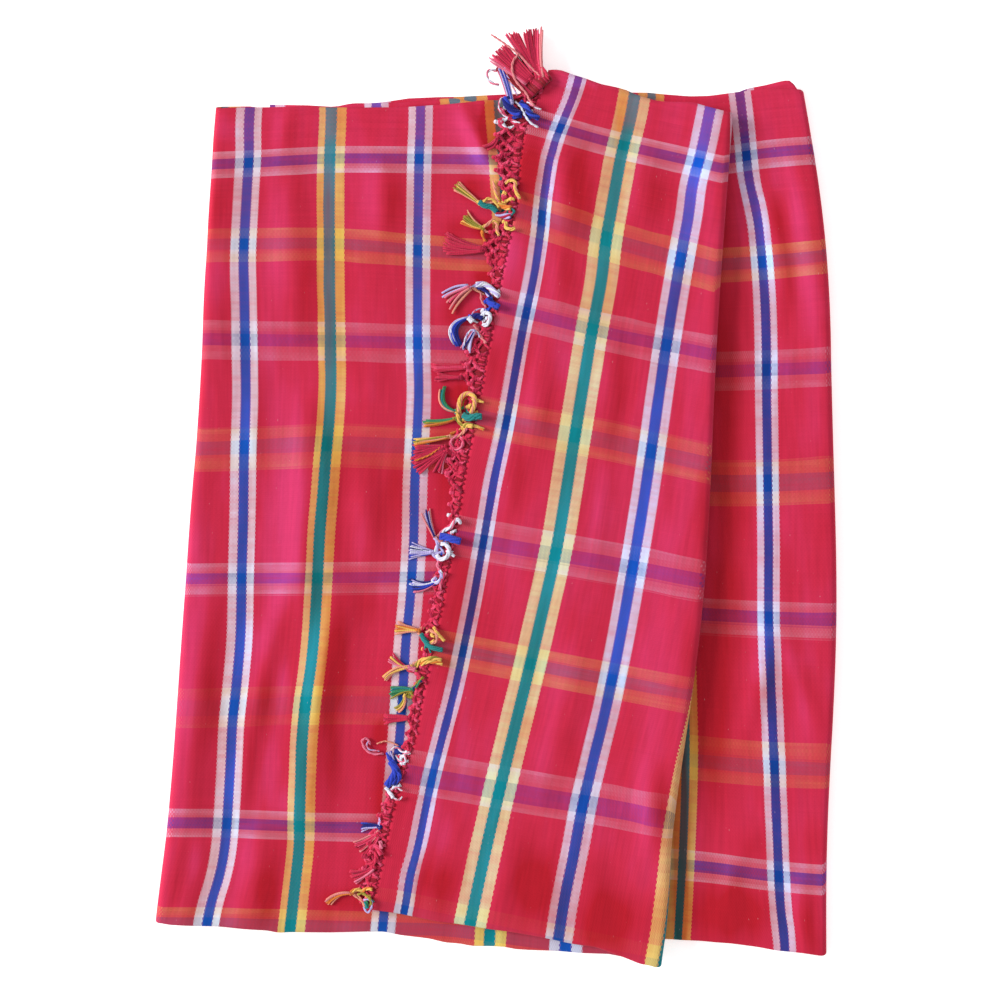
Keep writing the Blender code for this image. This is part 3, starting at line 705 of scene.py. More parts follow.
@dataclass(frozen=True)
class Plaid:
    """Where each point of a layer lies in the plaid, and how strongly the warp shows there.

    A band's strength ends past_band beyond its edge and fades over band_fade up to there, in millimetres.
    """

    layer: Layer
    past_band: float = 6.0
    band_fade: float = 5.0

    def weft_place(self, x: Array, y: Array, ply: Ply) -> Array:
        """Weft place: stripe number times WEFT_PITCH on each stripe's line, true to size across a stripe."""
        layer, sign = self.layer, self.layer.heading
        first, last = layer.start.line, layer.end.line
        width = np.clip((x - first.top[0]) / (last.top[0] - first.top[0]), 0, 1)
        left_share = width if sign < 0 else 1 - width
        left, right = layer.slip.get(ply, (0.0, 0.0))
        up = np.clip((y - first.foot[1]) / (first.top[1] - first.foot[1]), 0, 1.1)
        slip = (left * left_share + right * (1 - left_share)) * up**2
        knots = [(sign * first.x_at(y), layer.start.weft_at(y))]
        for number, stripe in layer.stripes.items():
            places = [sign * edge for edge in stripe.edges(y)][::sign]
            steps = dressing_of(number).steps(number, WEFT_PITCH)
            knots += [(place, np.full_like(x, step)) for place, step in zip(places, steps)]
        knots.append((sign * last.x_at(y), layer.end.weft_at(y)))
        return ramp_through(sign * (x - slip), self.in_order(knots))

    @staticmethod
    def in_order(knots: list[tuple[Array, Array]]) -> list[tuple[Array, Array]]:
        """Cuts the edges of the first and last stripes back to the ends, where a stripe crosses a fold."""
        (start, low), (end, high) = knots[0], knots[-1]
        kept = [(start, low)]
        for place, value in knots[1:-1]:
            inside = np.clip(place, start, end)
            shift = inside - place
            kept.append((inside, np.clip(value + shift, low, high)))
        return [*kept, (end, high)]

    def warp_place(self, x: Array, y: Array) -> Array:
        """Warp place from the near selvage: stripe number times WARP_PITCH on the core of each band."""
        across, knots = across_of(x), []
        for number, band in enumerate(self.layer.bands, start=1):
            down = softened(across, self.layer.band_x, band.down, BAND_SOFTNESS)
            edges = edges_about((down - PICTURE_MIDDLE[1]) * PICTURE_SCALE, band.widths)
            steps = dressing_of(number).steps(number, WARP_PITCH)
            knots += [(place, np.full_like(x, step)) for place, step in zip(edges, steps)]
        return ramp_through(-y, knots)

    def shows(self, x: Array, warp: Array) -> Array:
        """How strongly the warp shows: 1 on the plain cloth, and each band's own strength across it."""
        across, total = across_of(x), np.ones_like(x)
        for number, band in enumerate(self.layer.bands, start=1):
            places = self.layer.band_x if len(band.shows) > 1 else (0.0,)
            away = np.abs(warp - number * WARP_PITCH)
            inside = np.clip((EVEN_STRIPE.edge + self.past_band - away) / self.band_fade, 0, 1)
            total += (softened(across, places, band.shows, BAND_SOFTNESS) - 1) * inside
        return total


@dataclass(frozen=True)
class Strip:
    """A block of columns of the doubled strip: its middle line, the way to ply A, and values on its points.

    The values lie along the last axis: the weft place, the warp place, how much the warp shows, the tone
    with painted highlight and shade, and the share of the weft's second dyes.
    """

    middle: dict[Ply, Array]
    to_a: Array
    values: dict[Ply, Array]


@dataclass
class FoldedCloth:
    """The woven cloth as one thin sheet: a hairpin of two plies carried along a zigzag of four layers.

    crowding draws the rows towards a ply's two ends. corner_off is how far inside a fold the height of its
    corners is read, and edge_softness how far the edges' corners are rounded, in millimetres. The greater
    catch_up_power is, the closer to the foot do the two plies' warp places catch up with each other.
    """

    rows: int = 99
    turn_rows: int = 6
    bend_columns: int = 7
    thickness: float = THICKNESS
    crowding: float = 0.12
    corner_off: float = 4.0
    edge_softness: float = 3.0
    catch_up_power: int = 8

    def row_shares(self) -> Array:
        """Shares of the way down a ply, closer together at the selvage and at the lengthwise fold."""
        even = np.linspace(0.0, 1.0, self.rows)
        return even - self.crowding * np.sin(2 * math.pi * even) / (2 * math.pi) * 4

    def edge_y(self, table: list[Pair], x: Array) -> Array:
        """Height of an edge at x, from its table in picture pixels, rounded off over a few millimetres."""
        across, up = picture(table).T
        shifted = ((-self.edge_softness, 0.25), (0.0, 0.5), (self.edge_softness, 0.25))
        return sum(weight * np.interp(x + shift, across, up) for shift, weight in shifted)

    @property
    def foot_inset(self) -> float:
        """How far the plies stop short of the foot, for the turn of the lengthwise fold."""
        return PLY_PITCH / 2 + self.thickness / 2

    def bounds_of(self, layer: Layer, ply: Ply, rows: Array) -> list[Array]:
        """x down the first and the last line of a layer's flat part, drawn in by the size of the bends."""
        found = []
        for fold, side in ((layer.start, -layer.heading), (layer.end, layer.heading)):
            ends = ((layer.ends_top[ply], fold.line.top), (layer.foot, fold.line.foot))
            top, foot = (
                self.edge_y(table, np.array([end[0] - self.corner_off * side]))[0] for table, end in ends)
            y = top + (foot + self.foot_inset - top) * rows
            x = fold.line.x_at(y)
            found.append(x - side * self.inset(layer, fold, x, y))
        return found

    def inset(self, layer: Layer, fold: FoldLine, x: Array, y: Array) -> Array:
        """Reach of the bend past the flat part: half of the layers' distance, ply pitch and the cloth."""
        if fold in (FRINGED_END, HIDDEN_END):
            return np.zeros_like(x)
        other = next(n.number for n in LAYERS if n.number != layer.number and fold in (n.start, n.end))
        apart = abs(stack_height(layer.number, x, y) - stack_height(other, x, y))
        return apart / 2 + PLY_PITCH / 2 + self.thickness / 2

    def flat(self, layer: Layer, rows: Array) -> Strip:
        """The flat columns of a layer: each runs between the same shares of the first and the last line."""
        number, plaid, middle, values = layer.number, Plaid(layer), {}, {}
        for ply in Ply:
            first, last = self.bounds_of(layer, ply, rows)
            x = first + (last - first) * np.array(layer.shares)[:, None]
            top = self.edge_y(layer.ends_top[ply], x[:, :1])
            foot = self.edge_y(layer.foot, x[:, -1:]) + self.foot_inset
            y = top + (foot - top) * rows
            z = stack_height(number, x, y) + relief(number, ply, x, y)
            # Painted light: the tone rises with the surface's lean towards the lamp, on top of the patches
            # of painted highlight, shade and tone
            lean = np.clip(np.gradient(z, axis=0) / np.gradient(x, axis=0), -STEEPEST_LEAN, STEEPEST_LEAN)
            tone = sum((patch.tone(x, y) for patch in SHADE_AND_TONE_PATCHES.get(number, ())), PAINTED_LEAN_LIGHT * lean)
            weft, warp = plaid.weft_place(x, y, ply), plaid.warp_place(x, y)
            faded = (-patch.tone(x, y) for patch in FADED.get(number, ()))
            second = sum(faded, np.interp(weft, *zip(*SECOND_DYE_AT)))
            middle[ply] = np.stack([x, y, z], axis=-1)
            values[ply] = np.stack([weft, warp, plaid.shows(x, warp), tone, second], axis=-1)
        to_a = np.broadcast_to(np.array([0.0, 0.0, float(layer.heading)]), middle[Ply.A].shape)
        return Strip(middle, to_a, values)

    def bend(self, above: Strip, below: Strip, side: Side) -> Strip:
        """The columns of a fold: half a circle from the last column above to the first column below.

        The values run evenly by angle from the one column to the other.
        """
        angle = np.linspace(math.pi / 2, -math.pi / 2, self.bend_columns + 2)[1:-1, None]
        share = (1 - np.sin(angle)) / 2
        out = np.stack([side.value * np.cos(angle), 0 * angle, np.sin(angle)], axis=-1)
        turned = (0.5 - angle / math.pi)[..., None]
        middle, values = {}, {}
        for ply in Ply:
            high, low = above.middle[ply][-1], below.middle[ply][0]
            centre = high + (low - high) * share[..., None]
            centre[..., 2] = (high[:, 2] + low[:, 2]) / 2
            radius = (high[:, 2] - low[:, 2]) / 2
            middle[ply] = centre + radius[None, :, None] * out
            values[ply] = above.values[ply][-1] * (1 - turned) + below.values[ply][0] * turned
        return Strip(middle, np.broadcast_to(out * side.value, middle[Ply.A].shape), values)

    def strips(self) -> Strip:
        """All columns in the order of the weft, from the fringed end to the hidden end."""
        rows = self.row_shares()
        flats = [self.flat(layer, rows) for layer in LAYERS]
        blocks = flats[:1]
        for layer, above, below in zip(LAYERS, flats, flats[1:]):
            blocks += [self.bend(above, below, Side(layer.heading)), below]
        return Strip(
            {ply: np.concatenate([block.middle[ply] for block in blocks]) for ply in Ply},
            np.concatenate([block.to_a for block in blocks]),
            {ply: np.concatenate([block.values[ply] for block in blocks]) for ply in Ply},
        )

    def surface(self) -> tuple[Array, Array, Array]:
        """The sheet's middle surface and its place in the plaid, down ply A, round the fold and up ply B.

        Returns:
            Points of shape (columns, rows, 3), and alike (weft place, warp place, length along the weft) and
            (how much the warp shows, tone with painted highlight and shade, second dye).
        """
        strip = self.strips()
        a, b = strip.middle[Ply.A], strip.middle[Ply.B][:, ::-1]
        angle = np.linspace(0.0, math.pi, self.turn_rows + 2)[1:-1]
        share = (angle / math.pi)[None, :, None]
        to_a = strip.to_a[:, -1:]
        round_the_fold = np.cos(angle)[:, None] * to_a + np.sin(angle)[:, None] * np.array([0.0, -1.0, 0.0])
        turn = a[:, -1:] + (b[:, :1] - a[:, -1:]) * share + PLY_PITCH / 2 * round_the_fold
        ply_a = a + PLY_PITCH / 2 * strip.to_a
        ply_b = b - PLY_PITCH / 2 * strip.to_a[:, ::-1]
        points = np.concatenate([ply_a, turn, ply_b], axis=1)
        on_a, on_b = strip.values[Ply.A], strip.values[Ply.B][:, ::-1]
        (weft_a, near), (weft_b, far) = (np.moveaxis(values, 2, 0)[:2] for values in (on_a, on_b))
        turning = weft_a[:, -1:] + (weft_b[:, :1] - weft_a[:, -1:]) * share[..., 0]
        weft = np.concatenate([weft_a, turning, weft_b], axis=1)
        arc = math.pi * PLY_PITCH / 2
        far = LOOM_TURN - far
        gap = far[:, :1] - near[:, -1:] - arc
        a_hidden = (1 - to_a[..., 2]) / 2
        near = near + gap * a_hidden * np.linspace(0, 1, near.shape[1]) ** self.catch_up_power
        far = far - gap * (1 - a_hidden) * np.linspace(1, 0, far.shape[1]) ** self.catch_up_power
        warp = np.concatenate([near, near[:, -1:] + arc * share[..., 0], far], axis=1)
        steps = np.linalg.norm(np.diff(points, axis=1), axis=2)
        length = np.concatenate([np.zeros((len(points), 1)), np.cumsum(steps, axis=1)], axis=1)
        length -= length[:, self.rows : self.rows + 1]
        on_turn = np.repeat(on_a[:, -1:], self.turn_rows, axis=1)
        shows_painted_light_and_dye = np.concatenate([on_a, on_turn, on_b], axis=1)[..., 2:]
        return points, np.stack([weft, warp, length], axis=-1), shows_painted_light_and_dye

    def build(self) -> Piece:
        """Makes the sheet: both faces and the four rims, with the plaid's coordinates on its points."""
        points, plaid, shows_painted_light_and_dye = self.surface()
        along, down = np.gradient(points, axis=0), np.gradient(points, axis=1)
        normal = np.cross(down, along)
        normal /= np.linalg.norm(normal, axis=2)[..., None]
        across, rows = points.shape[:2]
        vertices = np.concatenate([
            (points + self.thickness / 2 * normal).reshape(-1, 3),
            (points - self.thickness / 2 * normal).reshape(-1, 3),
        ])
        under = across * rows
        i, j = np.meshgrid(np.arange(across - 1), np.arange(rows - 1), indexing="ij")
        corner = (i * rows + j).ravel()
        quads = np.stack([corner, corner + 1, corner + rows + 1, corner + rows], axis=1)
        rim = np.concatenate([
            np.arange(rows),
            np.arange(1, across) * rows + rows - 1,
            (across - 1) * rows + np.arange(rows - 2, -1, -1),
            np.arange(across - 2, 0, -1) * rows,
        ])
        following = np.roll(rim, -1)
        sides = np.stack([following, rim, rim + under, following + under], axis=1)
        faces = np.concatenate([quads, quads[:, ::-1] + under, sides])
        cloth = mesh_object("woven_cloth", vertices, faces)
        smooth = np.ones(len(faces), dtype=bool)
        smooth[-len(sides):] = False
        cloth.data.polygons.foreach_set("use_smooth", smooth)
        for name, values in (("plaid", plaid), ("shows_painted_light_and_dye", shows_painted_light_and_dye)):
            give(cloth, name, np.concatenate([values.reshape(-1, 3)] * 2))
        return cloth


def mesh_object(name: str, vertices: Array, faces: Array) -> Piece:
    """Puts table points and faces of one size into a linked mesh object in the object's frame.

    Args:
        name: name of the piece.
        vertices: points in millimetres of the table.
        faces: one row of corners for each face.

    Returns:
        The new object, at the origin.
    """
    mesh = bpy.data.meshes.new(name)
    count, corners = faces.shape
    mesh.vertices.add(len(vertices))
    mesh.vertices.foreach_set("co", ((vertices + TABLE_ZERO) * MM).astype(np.float32).ravel())
    mesh.loops.add(count * corners)
    mesh.loops.foreach_set("vertex_index", faces.astype(np.int32).ravel())
    mesh.polygons.add(count)
    mesh.polygons.foreach_set("loop_start", np.arange(0, count * corners, corners, dtype=np.int32))
    mesh.polygons.foreach_set("use_smooth", np.ones(count, dtype=bool))
    mesh.update(calc_edges=True)
    mesh.validate()
    piece = bpy.data.objects.new(name, mesh)
    bpy.context.scene.collection.objects.link(piece)
    return piece


def give(piece: Piece, name: str, values: Array) -> None:
    """Stores one vector for each point of the piece under the name."""
    attribute = piece.data.attributes.new(name, "FLOAT_VECTOR", "POINT")
    attribute.data.foreach_set("vector", values.astype(np.float32).ravel())


@dataclass(frozen=True)
class NodeSketch:
    """A short hand for shader trees: each call places one node and gives back its output socket."""

    tree: bpy.types.NodeTree

    def place(self, kind: str, **settings: object) -> Node:
        """Adds a node of the given type and sets its properties."""
        node = self.tree.nodes.new("ShaderNode" + kind)
        for key, value in settings.items():
            setattr(node, key, value)
        return node

    def feed(self, socket: Socket, value: object) -> None:
        """Links a socket to the input, or sets the input to a number, vector or colour."""
        if isinstance(value, Socket):
            self.tree.links.new(value, socket)
        elif isinstance(value, tuple) and socket.type == "RGBA":
            socket.default_value = (*value, 1.0)[:4]
        else:
            socket.default_value = value

    def fed(self, node: Node, values: dict[int | str, object]) -> Node:
        """The node, with the inputs of these numbers or names fed."""
        for key, value in values.items():
            self.feed(node.inputs[key], value)
        return node

    def math(self, operation: str, *values: object, clamp: bool = False) -> Socket:
        """A Math node of the given operation."""
        node = self.place("Math", operation=operation, use_clamp=clamp)
        return self.fed(node, dict(enumerate(values))).outputs[0]

    def times(self, first: object, second: object, clamp: bool = False) -> Socket:
        """The product of two values."""
        return self.math("MULTIPLY", first, second, clamp=clamp)

    def plus(self, first: object, second: object, clamp: bool = False) -> Socket:
        """The sum of two values."""
        return self.math("ADD", first, second, clamp=clamp)

    def minus(self, first: object, second: object) -> Socket:
        """The first value less the second."""
        return self.math("SUBTRACT", first, second)

    def scaled(self, value: object, factor: object, shift: object) -> Socket:
        """The value times the factor, plus the shift."""
        return self.math("MULTIPLY_ADD", value, factor, shift)

    def centred(self, value: object, width: float) -> Socket:
        """A value from 0 to 1 turned into one of that width about zero."""
        return self.scaled(value, width, -width / 2)

    def blend(self, share: object, first: object, second: object, way: str = "MIX") -> Socket:
        """A colour mix of first and second by share."""
        node = self.place("Mix", data_type="RGBA", blend_type=way)
        return self.fed(node, {0: share, 6: first, 7: second}).outputs[2]

    def step(self, value: object, low: object, high: object) -> Socket:
        """A smooth step of the value from 0 at low to 1 at high."""
        node = self.place("MapRange", interpolation_type="SMOOTHSTEP")
        return self.fed(node, {0: value, 1: low, 2: high}).outputs[0]

    def vector(self, x: object, y: object, z: object) -> Socket:
        """A vector of three values."""
        return self.fed(self.place("CombineXYZ"), {0: x, 1: y, 2: z}).outputs[0]

    def parts(self, vector: object) -> tuple[Socket, ...]:
        """The three values of a vector."""
        return tuple(self.fed(self.place("SeparateXYZ"), {0: vector}).outputs)

    def attribute(self, name: str, output: str = "Vector") -> Socket:
        """What the piece's points carry under the name."""
        return self.place("Attribute", attribute_name=name).outputs[output]

    def noise(self, vector: object, scale: float, detail: float = 2.0) -> Socket:
        """A noise value from 0 to 1."""
        node = self.place("TexNoise")
        return self.fed(node, {"Vector": vector, "Scale": scale, "Detail": detail}).outputs[0]

    def shade(self, value: Socket, low: float, high: float, given: Pair = (0.3, 0.7)) -> Socket:
        """A grey from low to high by a noise value that runs between the given ones."""
        node = self.fed(self.place("MapRange"), {0: value, **dict(enumerate((*given, low, high), start=1))})
        return self.vector(*[node.outputs[0]] * 3)

    def bump(self, height: Socket, strength: float, distance: float) -> Node:
        """A Bump node for heights of that distance in metres."""
        return self.fed(self.place("Bump"), {"Height": height, "Strength": strength, "Distance": distance})

    def group(self, tree: bpy.types.NodeTree, **inputs: object) -> Node:
        """A group node with its inputs fed by name."""
        return self.fed(self.place("Group", node_tree=tree), inputs)


def new_group(name: str, inputs: dict[str, str], outputs: dict[str, str]) -> tuple[NodeSketch, dict, Node]:
    """Starts a shader node group.

    Args:
        name: name of the group.
        inputs: socket kind by input name: Float, Vector or Color.
        outputs: socket kind by output name.

    Returns:
        The sketch of its tree, its inputs as sockets by name, and its output node.
    """
    tree = bpy.data.node_groups.new(name, "ShaderNodeTree")
    for direction, sockets in (("INPUT", inputs), ("OUTPUT", outputs)):
        for key, kind in sockets.items():
            tree.interface.new_socket(key, in_out=direction, socket_type="NodeSocket" + kind)
    source, sink = tree.nodes.new("NodeGroupInput"), tree.nodes.new("NodeGroupOutput")
    return NodeSketch(tree), {s.name: s for s in source.outputs if s.name}, sink


def new_material(name: str) -> tuple[bpy.types.Material, NodeSketch, Node]:
    """An empty material with its node sketch and its Principled shader."""
    material = bpy.data.materials.new(name)
    material.use_nodes = True
    return material, NodeSketch(material.node_tree), material.node_tree.nodes["Principled BSDF"]


def dye(red: float, green: float, blue: float) -> Colour:
    """Linear colour of a dye that is named by its display values from 0 to 255."""
    shown = (value / 255 for value in (red, green, blue))
    return tuple(((v + 0.055) / 1.055) ** 2.4 if v > 0.04045 else v / 12.92 for v in shown)


class Dye(Enum):
    """The yarns' dyes, by the letter that the fringe's tables use."""

    RED = "R"
    MAGENTA = "M"
    PINK = "P"
    SALMON = "S"
    WHITE = "W"
    LILAC = "L"
    BLUE = "B"
    NAVY = "N"
    YELLOW = "Y"
    ORANGE = "O"
    OLIVE = "K"
    GREEN = "G"
    TEAL = "T"
    # D is a deep red of painted shade, for strands and flat ends that lie in shade
    PAINTED_SHADE_RED = "D"
    ROSE = "C"
    BLUSH = "Q"


DYES = {
    Dye.RED: dye(206, 42, 78), Dye.MAGENTA: dye(170, 26, 64), Dye.PINK: dye(228, 118, 146),
    Dye.SALMON: dye(232, 150, 128), Dye.WHITE: dye(226, 226, 240), Dye.LILAC: dye(188, 176, 226),
    Dye.BLUE: dye(48, 68, 190), Dye.NAVY: dye(26, 30, 116), Dye.YELLOW: dye(234, 188, 96),
    Dye.ORANGE: dye(222, 124, 50), Dye.OLIVE: dye(156, 142, 52), Dye.GREEN: dye(56, 138, 92),
    Dye.TEAL: dye(34, 130, 130), Dye.PAINTED_SHADE_RED: dye(140, 14, 36), Dye.ROSE: dye(222, 70, 108),
    Dye.BLUSH: dye(222, 130, 134),
}


@dataclass(frozen=True)
class Yarns:
    """Linear colours of the woven yarns. Each dye of the weft's stripes runs into a second shade."""

    red: Colour = dye(201, 40, 71)
    white: Colour = dye(215, 209, 231)
    bright_white: Colour = dye(240, 240, 252)
    blue: Colour = dye(16, 78, 176)
    navy: Colour = dye(12, 54, 134)
    yellow: Colour = dye(232, 190, 88)
    pale_yellow: Colour = dye(221, 215, 168)
    green: Colour = dye(2, 124, 132)
    faded_green: Colour = dye(104, 98, 112)
    red_warp: Colour = dye(206, 42, 74)
    white_warp: Colour = dye(216, 170, 192)
    blue_warp: Colour = dye(10, 58, 140)
    yellow_warp: Colour = dye(222, 165, 88)
    green_warp: Colour = dye(6, 96, 112)


@dataclass(frozen=True)
class Streaks:
    """Noise drawn out along two coordinates: its rate along each, its third coordinate and its detail."""

    first: float
    second: float
    place: float
    detail: float

    def over(self, sketch: NodeSketch, first: Socket, second: Socket) -> Socket:
        """The noise over two coordinates of the cloth."""
        along, across = sketch.times(first, self.first), sketch.times(second, self.second)
        return sketch.noise(sketch.vector(along, across, self.place), 1.0, self.detail)


BAND_NAMES = ("White", "Blue", "Yellow", "Green")


@dataclass(frozen=True)
class Weights:
    """A number on the plain ground, and what each band of a stripe changes in it."""

    ground: float
    white: float = 0.0
    blue: float = 0.0
    yellow: float = 0.0
    green: float = 0.0

    def over(self, sketch: NodeSketch, bands: Node) -> object:
        """The number at a place in the bands: the ground, plus the change for each band."""
        value: object = self.ground
        for name, change in zip(BAND_NAMES, (self.white, self.blue, self.yellow, self.green)):
            if change:
                value = sketch.scaled(bands.outputs[name], change, value)
        return value


@dataclass(frozen=True)
class WeaveFinish:
    """Plain weave of a cotton in which the fine weft covers most of the coarser warp.

    Pitches and places are in millimetres. The Weights say how much of the warp shows, and the Streaks are
    what varies it and the tone along and across the yarns.
    """

    yarns: Yarns = Yarns()
    pick_pitch: float = 0.5
    end_pitch: float = 1.65
    softness: float = 0.25
    crispness: float = 0.35
    fuzz: float = 0.3
    tightens: float = 0.62
    tight_between: Pair = (60.0, 260.0)
    selvage_between: Pair = (72.0, 58.0)
    selvage_evens: float = 0.4
    swing_wave: float = 640.0
    swing_from: float = 400.0
    opens_when_loose: Weights = Weights(1.0, -0.95, -0.42, -0.7, -0.85)
    opens_always: Weights = Weights(0.0, 1.15, -0.08, 1.0, -0.02)
    warp_shows: Weights = Weights(0.36, -0.06, -0.02, -0.12, -0.20)
    core_shows: Weights = Weights(0.0, blue=0.15, green=0.14)
    only_ground: Weights = Weights(1.0, -1.0, -1.0, -1.0, -1.0)
    edge_light: float = 0.7
    uneven_ends: Pair = (1.2, 0.4)
    second_swing: float = 1.4
    pick_shade: Pair = (0.92, 1.08)
    end_shade: Pair = (0.85, 1.15)
    end_hollow: float = 0.6
    end_drift: Streaks = Streaks(0.37, 0.018, 2.0, 2.0)
    second_drift: Streaks = Streaks(0.02, 0.009, 9.0, 1.0)
    pick_tone: Streaks = Streaks(0.35, 0.02, 0.0, 3.0)
    end_tone: Streaks = Streaks(0.02, 0.61, 5.0, 3.0)
    fold_tone: Streaks = Streaks(0.06, 0.016, 6.0, 2.0)
    slubs: Streaks = Streaks(0.9, 0.22, 3.0, 1.0)
    crinkle: Streaks = Streaks(0.035, 0.012, 8.0, 3.0)
    cloud_scale: float = 9.0
    cloud_tone: float = 1.8
    fold_swing: float = 2.2
    slub_from: Pair = (0.76, 0.86)
    slub_share: float = 0.4
    slub_colour: Colour = (0.85, 0.62, 0.66)
    roughness: float = 0.86
    specular: float = 0.12
    sheen: float = 0.05
    sheen_roughness: float = 0.5
    weave_bump: Pair = (0.35, 0.00025)
    crinkle_bump: Pair = (0.5, 0.0015)
    # Tints that the tone brings in: more pink for painted highlight and uneven tone above zero, a darker red
    # for painted shade and uneven tone below
    pinker_tone_and_highlight: Colour = (1.14, 1.9, 2.3)
    purer_tone_and_shade: Colour = (0.80, 0.42, 0.36)

    def stripe_bands(self) -> bpy.types.NodeTree:
        """Group: how far a place lies in the white, blue, yellow and green bands of evenly set stripes.

        The nearest stripe's number is the place over the pitch, rounded. Odd stripes are white with a blue
        core, even ones yellow with a green core. Outer rises from 0 at a core to 1 at the stripe's edge.
        """
        sketch, given, sink = new_group(
            "stripe_bands", {"Place": "Float", "Pitch": "Float"},
            dict.fromkeys((*BAND_NAMES, "Outer"), "Float"))
        number = sketch.math("ROUND", sketch.math("DIVIDE", given["Place"], given["Pitch"]))
        away = sketch.math("ABSOLUTE", sketch.minus(given["Place"], sketch.times(number, given["Pitch"])))
        odd = sketch.math("MODULO", number, 2.0)
        even = sketch.minus(1.0, odd)
        for kind, parity, names in ((ODD_STRIPE, odd, BAND_NAMES[:2]), (EVEN_STRIPE, even, BAND_NAMES[2:])):
            inner = sketch.step(away, kind.core + self.fuzz, kind.core - self.fuzz)
            whole = sketch.step(away, kind.edge + self.fuzz, kind.edge - self.fuzz)
            outer = sketch.times(sketch.minus(whole, inner), parity)
            sketch.fed(sink, dict(zip(names, (outer, sketch.times(inner, parity)))))
        sketch.feed(sink.inputs["Outer"], sketch.step(away, ODD_STRIPE.core, ODD_STRIPE.edge))
        return sketch.tree

    def dyed(self, sketch: NodeSketch, bands: Node, ground: Colour, *dyes: object) -> Socket:
        """Colour of a yarn: the ground, with each band's dye laid over it."""
        colour: object = ground
        for name, dyed in zip(BAND_NAMES, dyes):
            colour = sketch.blend(bands.outputs[name], colour, dyed)
        return colour

    def plain_weave(self) -> bpy.types.NodeTree:
        """Group: colour and height of the weave from the plaid's coordinates in millimetres.

        The warp ends are numbered by their place across the loom, stretched by THREAD_STRETCH and a slow
        sine of THREAD_DRIFT to their real spacing. A float of weft covers two picks' width over one warp
        end, set off by one pick at every second end, which gives the stripes their stepped edges. The warp
        shows between the floats, by the share that the two yarns' bands leave open, and more of it near the
        selvages.
        """
        sketch, given, sink = new_group(
            "plain_weave", {"Plaid": "Vector", "Shows": "Float", "Second": "Float"},
            {"Color": "Color", "Height": "Float"})
        math_of, times, plus, minus = sketch.math, sketch.times, sketch.plus, sketch.minus
        scaled, centred, blend = sketch.scaled, sketch.centred, sketch.blend
        weft, warp, length = sketch.parts(given["Plaid"])
        nearer = math_of("MINIMUM", warp, minus(LOOM_TURN, warp))
        rate = 2 * math.pi / self.swing_wave
        swing = math_of("SINE", scaled(nearer, rate, -2 * math.pi * self.swing_from / self.swing_wave))
        ends = math_of("DIVIDE", scaled(nearer, THREAD_STRETCH, times(swing, THREAD_DRIFT)), self.end_pitch)
        end = math_of("FLOOR", ends)
        far_from_zero = 4000.0
        odd_end = math_of("MODULO", plus(end, far_from_zero), 2.0)
        floats = scaled(math_of("DIVIDE", weft, self.pick_pitch), 0.5, times(odd_end, 0.5))
        number = math_of("FLOOR", floats)
        weft_centre = times(minus(scaled(number, 2.0, 1.0), odd_end), self.pick_pitch)
        along = minus(ends, end)
        warp_centre = scaled(minus(0.5, along), self.end_pitch / THREAD_STRETCH, nearer)
        bands = self.stripe_bands()
        weft_bands = sketch.group(bands, Place=weft_centre, Pitch=WEFT_PITCH)
        warp_bands = sketch.group(bands, Place=warp_centre, Pitch=WARP_PITCH)

        # The share of the warp that shows
        loose = scaled(sketch.step(nearer, *self.tight_between), -self.tightens, 1.0)
        when_loose, always = (
            weights.over(sketch, weft_bands) for weights in (self.opens_when_loose, self.opens_always))
        leaves_open = scaled(loose, when_loose, always)
        light = plus(warp_bands.outputs["White"], warp_bands.outputs["Yellow"])
        edged = scaled(centred(warp_bands.outputs["Outer"], self.edge_light), light, 1.0)
        uneven = scaled(self.end_drift.over(sketch, end, weft), *self.uneven_ends)
        ground = self.only_ground.over(sketch, weft_bands)
        on_ground = scaled(minus(given["Shows"], 1.0), ground, 1.0)
        strength = times(times(self.warp_shows.over(sketch, warp_bands), edged), times(on_ground, uneven))
        core = times(self.core_shows.over(sketch, warp_bands), ground)
        share = scaled(leaves_open, strength, times(core, times(math_of("POWER", on_ground, 0.5), uneven)))
        evened = times(minus(0.5, share), self.selvage_evens)
        share = plus(share, times(sketch.step(nearer, *self.selvage_between), evened))
        off = math_of("ABSOLUTE", centred(minus(floats, number), 2.0))
        cover = minus(1.0, share)
        crisp = sketch.step(off, minus(cover, self.softness), plus(cover, self.softness))
        shown_warp = scaled(crisp, self.crispness, times(share, 1.0 - self.crispness))

        # The two yarns' colours
        drift = centred(self.second_drift.over(sketch, weft, length), self.second_swing)
        second = plus(given["Second"], drift, clamp=True)
        bright = times(given["Second"], -1.0, clamp=True)
        yarns = self.yarns
        weft_colour = self.dyed(
            sketch, weft_bands, yarns.red, blend(bright, yarns.white, yarns.bright_white),
            blend(second, yarns.blue, yarns.navy), blend(second, yarns.yellow, yarns.pale_yellow),
            blend(bright, yarns.green, yarns.faded_green))
        warp_colour = self.dyed(
            sketch, warp_bands, yarns.red_warp, yarns.white_warp, yarns.blue_warp, yarns.yellow_warp,
            yarns.green_warp)
        pick_shade = sketch.shade(self.pick_tone.over(sketch, weft, length), *self.pick_shade)
        end_shade = sketch.shade(self.end_tone.over(sketch, weft, end), *self.end_shade)
        weft_colour = blend(1.0, weft_colour, pick_shade, "MULTIPLY")
        warp_colour = blend(1.0, warp_colour, end_shade, "MULTIPLY")
        sketch.feed(sink.inputs["Color"], blend(shown_warp, weft_colour, warp_colour))
        crown = minus(1.0, math_of("POWER", off, 2.0))
        ridge = math_of("ABSOLUTE", centred(along, 2.0))
        length_crown = minus(1.0, times(math_of("POWER", ridge, 2.0), self.end_hollow))
        sketch.feed(sink.inputs["Height"], times(crown, length_crown))
        return sketch.tree

